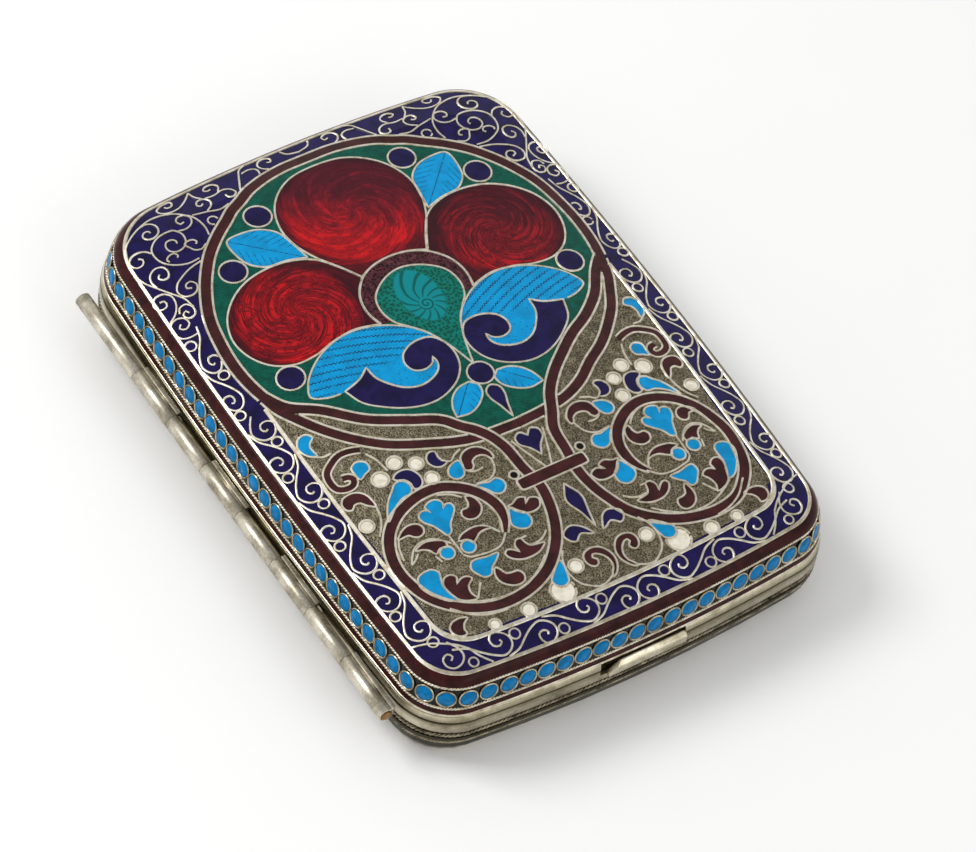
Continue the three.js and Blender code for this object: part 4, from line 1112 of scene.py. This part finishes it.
ring_left = smooth_line(RING)
ring_whole = ring_left[::-1] + mirrored(ring_left[1:])[::-1]
inner_straps = [smooth_line(p, step=STRAP_STEP) for p in (LEFT_INNER_STRAP, RIGHT_INNER_STRAP)]
outer_straps = [smooth_line(p, step=STRAP_STEP) for p in (LEFT_OUTER_STRAP, RIGHT_OUTER_STRAP)]
drop = smooth_line(DROP[:-1] + [(*DROP[-1][:2], True)] + mirrored(DROP[1:-1]), True)
top_petal = smooth_line(TOP_PETAL + mirrored(TOP_PETAL[1:-1], TOP_PETAL_MIRROR), True)
collar_line = smooth_line(COLLAR + mirrored(COLLAR[:-1]))
side_petals, wings, volutes, leaves, light_cells, maroon_cells, dark_cells = (
    both_lines(texts, True)
    for texts in ([SIDE_PETAL], [WING], [VOLUTE], LEAVES, LIGHT_BLUE_CELLS, MAROON_CELLS, DARK_BLUE_CELLS)
)
dark_cells += [smooth_line(places(text), True) for text in MIDDLE_CELLS]
margin_scrolls = both_lines([MARGIN_SCROLL])
discs = paired(DISCS) + spots([MIDDLE_DISC])
berries, white_dots = paired(BERRIES, True), paired(WHITE_DOTS, True)
black_dots = spots(BLACK_DOTS)

slab("lid_field_base", [outline(FIELD_INSET + 0.01)], 0.24, border_blue, ("lid_field_enamel",), 3)
lower_field = [p for p in outline(lid_section(FIELD_EDGE - 0.4)[0]) if p[1] < FIELD_END]
slab("lid_lower_ground", [lower_field], 0.2, ground_metal)

left_bound, right_bound = ([p for p in strap if p[1] > STRAPS_CROSS] for strap in inner_straps)
foot = [p for p in outer_straps[1] if p[0] < OUTER_STRAPS_BOUND]
foot += [p for p in outer_straps[0][::-1] if p[0] > -OUTER_STRAPS_BOUND]
slab("lid_medallion_ground", [ring_whole + right_bound + foot + left_bound[::-1]], 0.17, green)

straps = [ribbon(ring_whole, RING_WIDTH)] + [ribbon(strap, STRAP_WIDTH) for strap in outer_straps]
straps += [circle(*joint) for joint in STRAP_JOINTS]
scroll_straps = [ribbon(strap, SCROLL_STRAP_WIDTH, STRAP_THINS) for strap in inner_straps]
slab("lid_medallion_straps", straps, 0.1, maroon)
slab("lid_scroll_straps", scroll_straps, 0.08, maroon)
slab("lid_strap_bar", [rounded_bar()], 0.04, maroon)

slab("lid_left_red_petal", side_petals[:1], 0.14, left_red)
slab("lid_right_red_petal", side_petals[1:], 0.14, right_red)
slab("lid_top_red_petal", [top_petal], 0.14, top_red)
collar_inside = [p for p in drop if p[1] > COLLAR_FOOT]
right_side = sorted((p for p in collar_inside if p[0] >= MIRROR_LINE / 2), key=lambda p: p[1])
left_side = sorted((p for p in collar_inside if p[0] < MIRROR_LINE / 2), key=lambda p: -p[1])
slab("lid_dotted_collar", [collar_line + right_side + left_side], 0.13, collar_maroon)
slab("lid_teal_drop", [drop], 0.12, teal)
slab("lid_light_blue_wings", wings, 0.13, wing_blue)
slab("lid_dark_blue_volutes", volutes, 0.1, deep_blue)
slab("lid_light_blue_leaves", leaves, 0.13, leaf_blue)
slab("lid_dark_blue_discs", [circle(*d) for d in discs], 0.1, deep_blue)

blue_shapes = light_cells + [circle(*b) for b in berries]
maroon_shapes = maroon_cells + [ribbon(line, MARGIN_SCROLL_WIDTH) for line in margin_scrolls]
white_shapes = [circle(x, y, radius - 0.12, 16) for x, y, radius in white_dots]
slab("lid_light_blue_cells", blue_shapes, 0.12, sky_blue, grid=4)
slab("lid_maroon_cells", maroon_shapes, 0.13, maroon, grid=4)
slab("lid_dark_blue_cells", dark_cells, 0.12, deep_blue, grid=4)
slab("lid_white_dots", white_shapes, 0.15, white_enamel, grid=4)
slab("lid_black_dots", [circle(*d, 12) for d in black_dots], 0.11, pellet_ground, grid=4)

# ---------------------------------------------------------------- the lid's wires
RING_WIRE, SCROLL_WIRE, STRAP_WIRE, SHAPE_WIRE, CELL_WIRE, MARGIN_WIRE = 0.46, 0.45, 0.43, 0.39, 0.38, 0.36
BORDER_WIRE, BORDER_RING_WIRE, BAR_WIRE = 0.34, 0.33, 0.5
UNDER_RING = 1.1  # the border's wires stop this far from the ring's middle

field_wires = []


def lay(lines, width, closed=False):
    field_wires.extend((line, width, closed) for line in lines)


for side in (-1, 1):
    lay([beside(ring_whole, side * 0.96)], RING_WIRE)
    for strap in outer_straps:
        lay(clear_of(beside(strap, side * 0.92), inner_straps[0] + inner_straps[1], 1.05), STRAP_WIRE)
    for strap in inner_straps:
        line = beside(strap, side * (0.25 + 0.7 * thinning(strap, STRAP_THINS)))
        for run in runs_where(line, lambda p: not (BAR_LOW < p[1] < BAR_HIGH and BAR_LEFT < p[0] < BAR_RIGHT)):
            lay(runs_where(run, lambda p: p[1] <= 1.5), SCROLL_WIRE)
            for upper in runs_where(run, lambda p: p[1] > 1.2):
                lay(clear_of(upper, outer_straps[0] + outer_straps[1], 0.85), SCROLL_WIRE)
lay((top_petal, drop, *side_petals, *volutes, *leaves), SHAPE_WIRE, True)
for wing, volute in zip(wings, volutes):
    for run in clear_of(wing + wing[:1], volute, 0.5):
        lay(runs_where(run, lambda p: not inside(p, volute)), SHAPE_WIRE)
lay([circle(*d) for d in discs], CELL_WIRE, True)
lay([collar_line], STRAP_WIRE)
lay((*light_cells, *maroon_cells, *dark_cells), CELL_WIRE, True)
for line in margin_scrolls:
    lay([beside(line, side * 0.62) for side in (-1, 1)], MARGIN_WIRE)
lay([circle(x, y, radius + 0.15, 16) for x, y, radius in (*berries, *black_dots)], CELL_WIRE, True)
for x, y, radius in white_dots:
    ring = circle(x, y, radius + 0.1, 32)
    covered = [c for c in light_cells if any(inside(p, c) for p in ring)]
    if covered:
        lay(runs_where(ring, lambda p: not inside(p, covered[0])), CELL_WIRE)
    else:
        lay([ring], CELL_WIRE, True)
lay(both_lines(FIELD_LINES), SHAPE_WIRE)
wires("lid_field_wires", field_wires)
wires("lid_strap_bar_wire", [(rounded_bar(-0.1), BAR_WIRE, True)], crown=0.03)

border_wires = []
for line in (*scroll_lines, *both_halves(CORNER_LINES)):
    runs = clear_of(smooth_line(line), ring_whole, UNDER_RING)
    border_wires += [(run, BORDER_WIRE, False) for run in runs if len(run) > 6]
for x, y, radius in scroll_rings + paired(CORNER_RINGS):
    for run in clear_of(circle(x, y, radius, 14), ring_whole, UNDER_RING):
        border_wires.append((run, BORDER_RING_WIRE, len(run) == 14))
wires("lid_border_wires", border_wires)

# ---------------------------------------------------------------- trim carried round the case
FIELD_WIRE_OPENING = 6.6  # the field's wire is open behind this, where the medallion closes the field
LID_RIM_TOP, LID_RIM_BOTTOM = -5.55, -6.9
RIM_INSET = SHOULDER_INSET - (SHOULDER_HEIGHT - BASE_DEPTH) / math.tan(WALL_TILT)
SHELL_DEPTH, SHELL_WALL = 0.8, 0.8
BASE_INNER = RIM_INSET + SHELL_DEPTH + SHELL_WALL
BAND_BOTTOM = BASE_TOP - 2.4
PUSH_LEFT, PUSH_RIGHT = -6.9, 7.3
NOTCH_LEFT, NOTCH_RIGHT = PUSH_LEFT - 1.0, PUSH_RIGHT + 0.35  # the notch in both rims for the push-piece
STEM_NOTCH = 2.8  # half the width of the deeper notch for its stem
FRONT = -(CASE_LENGTH / 2 - RIM_INSET)


def cut_away(piece, low, high):
    """Cuts a block out of a piece, between two corners in millimetres from the middle."""
    bm = bmesh.new()
    bmesh.ops.create_cube(bm, size=1)
    size = [b - a for a, b in zip(low, high)]
    middle = [(a + b) / 2 for a, b in zip(low, high)]
    bmesh.ops.transform(bm, matrix=Matrix.Translation(middle) @ Matrix.Diagonal((*size, 1)), verts=bm.verts)
    block = mesh_from("cutter", bm)
    set_down(block)
    cutter = linked("cutter", block)
    cut = piece.modifiers.new("cut", "BOOLEAN")
    cut.operation, cut.object, cut.solver = "DIFFERENCE", cutter, "EXACT"
    left = worked_out(piece)
    piece.modifiers.clear()
    bpy.data.objects.remove(cutter)
    old, piece.data = piece.data, left
    bpy.data.meshes.remove(old)


def trim(name, node, section, material, body="lid"):
    return add_piece(name, clean_mesh(name, carried_round(section)), material, body, (node,))


trim("lid_shoulder_flat_wire", "lid_shoulder_wire", lid_band(2.3, 2.9, 0, round_edge=0.1), silver)
trim("lid_border_enamel", "lid_scroll_border", lid_band(2.95, 7.75, 0.18, count=8), border_blue)
trim("lid_maroon_stripe", "lid_maroon_band", lid_band(0.3, 2.35, 0.12, count=6), band_maroon)
pellet_band = lid_band(-3.75, -0.25, 0.25, count=4)
trim("lid_pellet_ground", "lid_pellet_band", pellet_band, pellet_ground)
trim("lid_thin_stripe", "lid_lower_stripe", lid_band(-5.1, -4.3, 0.12), band_maroon)
trim("lid_edge_flat_wire", "lid_edge_wire", lid_band(-5.5, -5.1, 0, round_edge=0.08), silver)
field_wire = trim("lid_field_flat_wire", "lid_field_wire", lid_band(7.1, 7.78, 0, round_edge=0.12), wire_silver)
cut_away(field_wire, (-50, FIELD_WIRE_OPENING, 0), (50, 70, 40))

lid_rim_section = [lid_section(s, d) for s, d in ((LID_RIM_TOP, 0.08), (-5.65, 0), (-6.75, 0), (LID_RIM_BOTTOM, 0.1))]
lip = lid_rim_section[-1][1]
lid_rim_section += [(RIM_INSET + 1.6, lip), (RIM_INSET + 1.6, lip + 0.2), (RIM_INSET + 0.55, lip + 0.2)]
lid_rim_section.append(lid_section(LID_RIM_TOP, TRIM_DEPTH))
lid_rim = trim("lid_bright_rim", "lid_rim", lid_rim_section, rim_silver)
base_rim_section = [
    (RIM_INSET + 0.3, BAND_BOTTOM), (RIM_INSET + 0.08, BAND_BOTTOM + 0.25), (RIM_INSET, BAND_BOTTOM + 0.7),
    (RIM_INSET, BASE_TOP - 0.5), (RIM_INSET + 0.06, BASE_TOP - 0.15), (RIM_INSET + 0.2, BASE_TOP),
    (BASE_INNER, BASE_TOP), (BASE_INNER, BASE_TOP - 0.2), (RIM_INSET + TRIM_DEPTH, BASE_TOP - 0.2),
    (RIM_INSET + TRIM_DEPTH, BAND_BOTTOM),
]
base_rim = trim("base_bright_rim", "base_rim", base_rim_section, base_silver, body="base")
for rim in (lid_rim, base_rim):
    cut_away(rim, (NOTCH_LEFT, FRONT - 1, BASE_DEPTH - 0.95), (NOTCH_RIGHT, FRONT + SHELL_DEPTH, 20))
cut_away(base_rim, (-STEM_NOTCH, FRONT - 1, BASE_DEPTH - 1.15), (STEM_NOTCH, -(CASE_LENGTH / 2 - 2.0), 20))

UPPER_GROOVE = BAND_BOTTOM - 0.65
WIRE_TOP = UPPER_GROOVE - 0.55
WIRE_BOTTOM = WIRE_TOP - 0.7
LOWER_GROOVE = WIRE_BOTTOM - 0.4
plain_wire_section = [
    (RIM_INSET + 0.12, WIRE_BOTTOM), (RIM_INSET, WIRE_BOTTOM + 0.2), (RIM_INSET, WIRE_TOP - 0.2),
    (RIM_INSET + 0.12, WIRE_TOP), (RIM_INSET + TRIM_DEPTH, WIRE_TOP), (RIM_INSET + TRIM_DEPTH, WIRE_BOTTOM),
]
trim("base_middle_wire", "base_plain_wire", plain_wire_section, base_silver, body="base")


def along_outline(inset, lengths_round):
    """Points at lengths along the outline from the right-hand side's middle, with their outward headings."""
    ring = np.array(outline(inset, (40, 60, 40)))
    ring = np.vstack([ring, ring[:1]])
    lengths = np.concatenate([[0], np.cumsum(np.linalg.norm(np.diff(ring, axis=0), axis=1))])
    total = lengths[-1]
    at = np.asarray(lengths_round(total), float) % total

    def spot(s):
        s = s % total
        return np.interp(s, lengths, ring[:, 0]), np.interp(s, lengths, ring[:, 1])

    x, y = spot(at)
    before, after = spot(at - 0.3), spot(at + 0.3)
    ahead_x, ahead_y = after[0] - before[0], after[1] - before[1]
    size = np.hypot(ahead_x, ahead_y)
    return x, y, ahead_y / size, -ahead_x / size


TWIST_STEPS = 8  # points in each turn of a twisted wire
TWIST, TWIST_PITCH = 0.6, 1.1
TWIST_ROUND = 1.92 * (CASE_LENGTH + CASE_WIDTH)  # about the length of a twisted wire


def twisted_wire(name, node, inset, height, material, body, width=TWIST, pitch=TWIST_PITCH):
    """Two thin wires twisted together and carried round the case."""
    count = round(TWIST_ROUND / pitch) * TWIST_STEPS
    spots_round = list(zip(*along_outline(inset, lambda total: np.linspace(0, total, count, endpoint=False))))
    strands = []
    for start in (0, math.pi):
        strand = []
        for i, (x, y, out_x, out_y) in enumerate(spots_round):
            angle = start + TURN * i / TWIST_STEPS
            out, up = math.cos(angle) * width * 0.23, math.sin(angle) * width * 0.23
            strand.append((x + out_x * out, y + out_y * out, height + up))
        strands.append((strand, width * 0.27, True))
    add_piece(name, swept(name, strands, 1), material, body, (node,), corner=60)


twisted_wire("lid_upper_twist", "lid_upper_twisted_wire", *lid_section(0, TWIST / 2), silver, "lid")
twisted_wire("lid_lower_twist", "lid_lower_twisted_wire", *lid_section(-4, TWIST / 2), silver, "lid")
groove = RIM_INSET + 0.35
twisted_wire("base_upper_twist", "base_upper_twisted_wire", groove, UPPER_GROOVE, dark_silver, "base", 0.7, 1.5)
twisted_wire("base_lower_twist", "base_lower_twisted_wire", groove, LOWER_GROOVE, dark_silver, "base")

# ---------------------------------------------------------------- pellets
PELLETS = 105
PELLET_RADIUS, PELLET_SIDES = 1.36, 18
PELLET_STATION = -2.0
# the outline's length up to some of the pellets, measured on an outline 337.88 long
PELLET_NUMBERS, PELLET_LENGTHS, MEASURED_ROUND = [0, 25, 32, 49, PELLETS], [125.0, 205.0, 229.0, 283.8, 462.88], 337.88


def pellet_lengths(total):
    """Where the pellets sit: a little closer along the sides than round the corners."""
    around = np.interp(range(PELLETS), PELLET_NUMBERS, PELLET_LENGTHS)
    return around * total / MEASURED_ROUND


def pellets():
    """Round beads of turquoise enamel, each in its ring of wire, on the band below the shoulder."""
    inset, height = lid_section(PELLET_STATION, 0.1)
    bead = bmesh.new()
    top = PELLET_RADIUS - 0.12
    bmesh.ops.create_cone(bead, cap_ends=True, segments=PELLET_SIDES, radius1=PELLET_RADIUS, radius2=top, depth=0.16)
    ring = bmesh.new()
    turned = Matrix.Translation((PELLET_RADIUS + 0.12, 0, -0.02)) @ Matrix.Rotation(math.pi / 2, 4, "X")
    start = bmesh.ops.create_circle(ring, segments=6, radius=0.17, matrix=turned)
    spun(ring, start["verts"] + list({e for v in start["verts"] for e in v.link_edges}), PELLET_SIDES)
    made = [(mesh_from("pellet", shape), bmesh.new()) for shape in (bead, ring)]
    for x, y, out_x, out_y in zip(*along_outline(inset, pellet_lengths)):
        out, along = Vector((out_x, out_y, 0)), Vector((-out_y, out_x, 0))
        up = Vector((0, 0, 1)) * math.sin(WALL_TILT) - out * math.cos(WALL_TILT)
        place = Matrix((along, up, along.cross(up))).transposed().to_4x4()
        place.translation = Vector((x, y, height))
        for mesh, whole in made:
            copy = mesh.copy()
            copy.transform(place)
            whole.from_mesh(copy)
            bpy.data.meshes.remove(copy)
    return [whole for _, whole in made]


beads, rings = pellets()
add_piece("lid_pellets", clean_mesh("lid_pellets", beads), turquoise, "lid", corner=60)
add_piece("lid_pellet_rings", clean_mesh("lid_pellet_rings", rings), ring_silver, "lid", corner=60)

# ---------------------------------------------------------------- hinge and push-piece
HINGE_RADIUS, PIN_HOLE, KNUCKLE_EASE, KNUCKLE_EDGE = 1.28, 0.98, 0.04, 0.05
HINGE_X = -(CASE_WIDTH / 2 - RIM_INSET + 1.5)
LEAF_LEFT, LEAF_RIGHT = HINGE_X + 0.75, HINGE_X + HINGE_RADIUS + 0.25
LEAF_NEAR, LEAF_FAR = 0.5, 1.4


def bevelled(bm, edges, width):
    """Eases the sharp edges of a shape."""
    bmesh.ops.bevel(
        bm, geom=edges, offset=width, segments=2, affect="EDGES", profile=0.5, material=-1, clamp_overlap=True
    )


def knuckle(name, node, side, body):
    """A rolled tube with its leaf, which rises to the lid's rim (side 1) or falls to the base's (side -1)."""
    low, high = (point[1] / MM - MIDDLE[1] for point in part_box(node))
    low, high = low - KNUCKLE_EASE, high + KNUCKLE_EASE
    bm = bmesh.new()
    inner, outer, edge = PIN_HOLE, HINGE_RADIUS, KNUCKLE_EDGE
    corners = [
        (inner, low + edge), (inner + edge, low), (outer - edge, low), (outer, low + edge),
        (outer, high - edge), (outer - edge, high), (inner + edge, high), (inner, high - edge),
    ]
    verts = [bm.verts.new((HINGE_X + r, y, BASE_DEPTH)) for r, y in corners]
    spun(bm, verts + loop_edges(bm, verts), 28, (0, 1, 0), (HINGE_X, 0, BASE_DEPTH))
    leaf = bmesh.ops.create_cube(bm, size=1)["verts"]
    height = BASE_DEPTH + side * (LEAF_NEAR + LEAF_FAR) / 2
    middle = Matrix.Translation(((LEAF_LEFT + LEAF_RIGHT) / 2, (low + high) / 2, height))
    size = Matrix.Diagonal((LEAF_RIGHT - LEAF_LEFT, high - low, LEAF_FAR - LEAF_NEAR, 1))
    bmesh.ops.transform(bm, matrix=middle @ size, verts=leaf)
    bevelled(bm, list({e for v in leaf for e in v.link_edges}), 0.1)
    add_piece(name, clean_mesh(name, bm), hinge_silver, body, (node,), corner=45)


for side, body in ((1, "lid"), (-1, "base")):
    for i in range(1, 5):
        knuckle(f"{body}_knuckle_{i}", f"{body}_hinge_knuckle_{i}", side, body)


def eased(name, node, material, body, width):
    """The node's own shape with its edges eased."""
    bm = bmesh.new()
    bm.from_mesh(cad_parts[node].data)
    bmesh.ops.remove_doubles(bm, verts=bm.verts, dist=1e-6)
    bmesh.ops.dissolve_limit(bm, angle_limit=math.radians(1), verts=bm.verts, edges=bm.edges)
    sharp = [e for e in bm.edges if len(e.link_faces) == 2 and e.calc_face_angle(0) > math.radians(35)]
    bevelled(bm, sharp, width * MM)
    bmesh.ops.recalc_face_normals(bm, faces=bm.faces)
    return add_piece(name, mesh_from(name, bm), material, body, (node,), millimetres=False)


push_piece = eased("push_piece_plate", "push_piece", plate_silver, "push_piece", 0.12)
STEM_END = -51.2  # leaves the catch spring clear when the push-piece is pressed
cut_away(push_piece, (-3, STEM_END, 7.4), (3, -48, 8.75))
eased("hinge_pin_rod", "hinge_pin", brass, "base", 0.2)

# ---------------------------------------------------------------- CAD nodes that show as they are
SHOWN = (
    (gilt, ("lid_shell", "catch_keeper", "mirror_frame", "liner_tray")),
    (looking_glass, ("mirror_glass",)),
    (base_silver, ("base_shell", "base_under_panel")),
    (brass, ("catch_spring", "spring_rivet_left", "spring_rivet_right")),
)
for material, names in SHOWN:
    for name in names:
        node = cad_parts[name]
        node.data.materials.clear()
        node.data.materials.append(material)

# ---------------------------------------------------------------- floor, lights and camera
paper, paper_shader, at = new_material("floor_paper")
join(at.noise(40.0).blend(shade("fdfdfc"), shade("fbfbfa")), paper_shader["Base Color"])
paper_shader["Roughness"].default_value = 0.95
paper_shader["Specular IOR Level"].default_value = 0.0

floor_bm = bmesh.new()
bmesh.ops.create_grid(floor_bm, x_segments=8, y_segments=8, size=3.0)
floor = linked("floor", mesh_from("floor", floor_bm))
floor.data.materials.append(paper)

AMBIENT = 0.62
world = bpy.data.worlds.new("studio")
bpy.context.scene.world = world
world.use_nodes = True
background = world.node_tree.nodes["Background"].inputs
rays = world.node_tree.nodes.new("ShaderNodeLightPath").outputs
seen_ray, through_ray, glossy_ray = (
    Value(world.node_tree, rays[f"Is {kind} Ray"]) for kind in ("Camera", "Transmission", "Glossy")
)
height = first_value(world.node_tree, "TexCoord", "Generated").parts()[2]
overhead = height.span(0.3, 0.75, 1.0, 0.45)  # the studio's dark ceiling, seen only in polished surfaces
seen = seen_ray.greater(through_ray)
unseen = 1.0 - seen.greater(glossy_ray)
join(seen.greater(glossy_ray * overhead) + unseen * AMBIENT, background["Strength"])
background["Color"].default_value = (1, 1, 1, 1)


def softbox(name, place, width, height, power):
    light = bpy.data.lights.new(name, "AREA")
    light.shape = "RECTANGLE"
    light.size, light.size_y, light.energy = width, height, power
    lamp = linked(name, light)
    lamp.location = place
    lamp.rotation_euler = (-Vector(place)).to_track_quat("-Z", "Y").to_euler()


softbox("key", (-0.4, 0.4, 0.64), 0.34, 0.34, 3.6)
softbox("fill", (0.2, -0.7, 0.5), 0.6, 0.4, 0.9)

camera_data = bpy.data.cameras.new("camera")
camera_data.sensor_width = 36.0
camera_data.sensor_fit = "HORIZONTAL"
camera_data.lens = 221.31
camera_data.clip_end = 20.0
camera = linked("camera", camera_data)
camera.matrix_world = Matrix(
    (
        (0.834595, 0.361773, -0.415417, -0.38334),
        (-0.536872, 0.703072, -0.466323, -0.44008),
        (0.123365, 0.612217, 0.781007, 0.73644),
        (0, 0, 0, 1),
    )
)
bpy.context.scene.camera = camera
bpy.context.scene.view_settings.view_transform = "Standard"
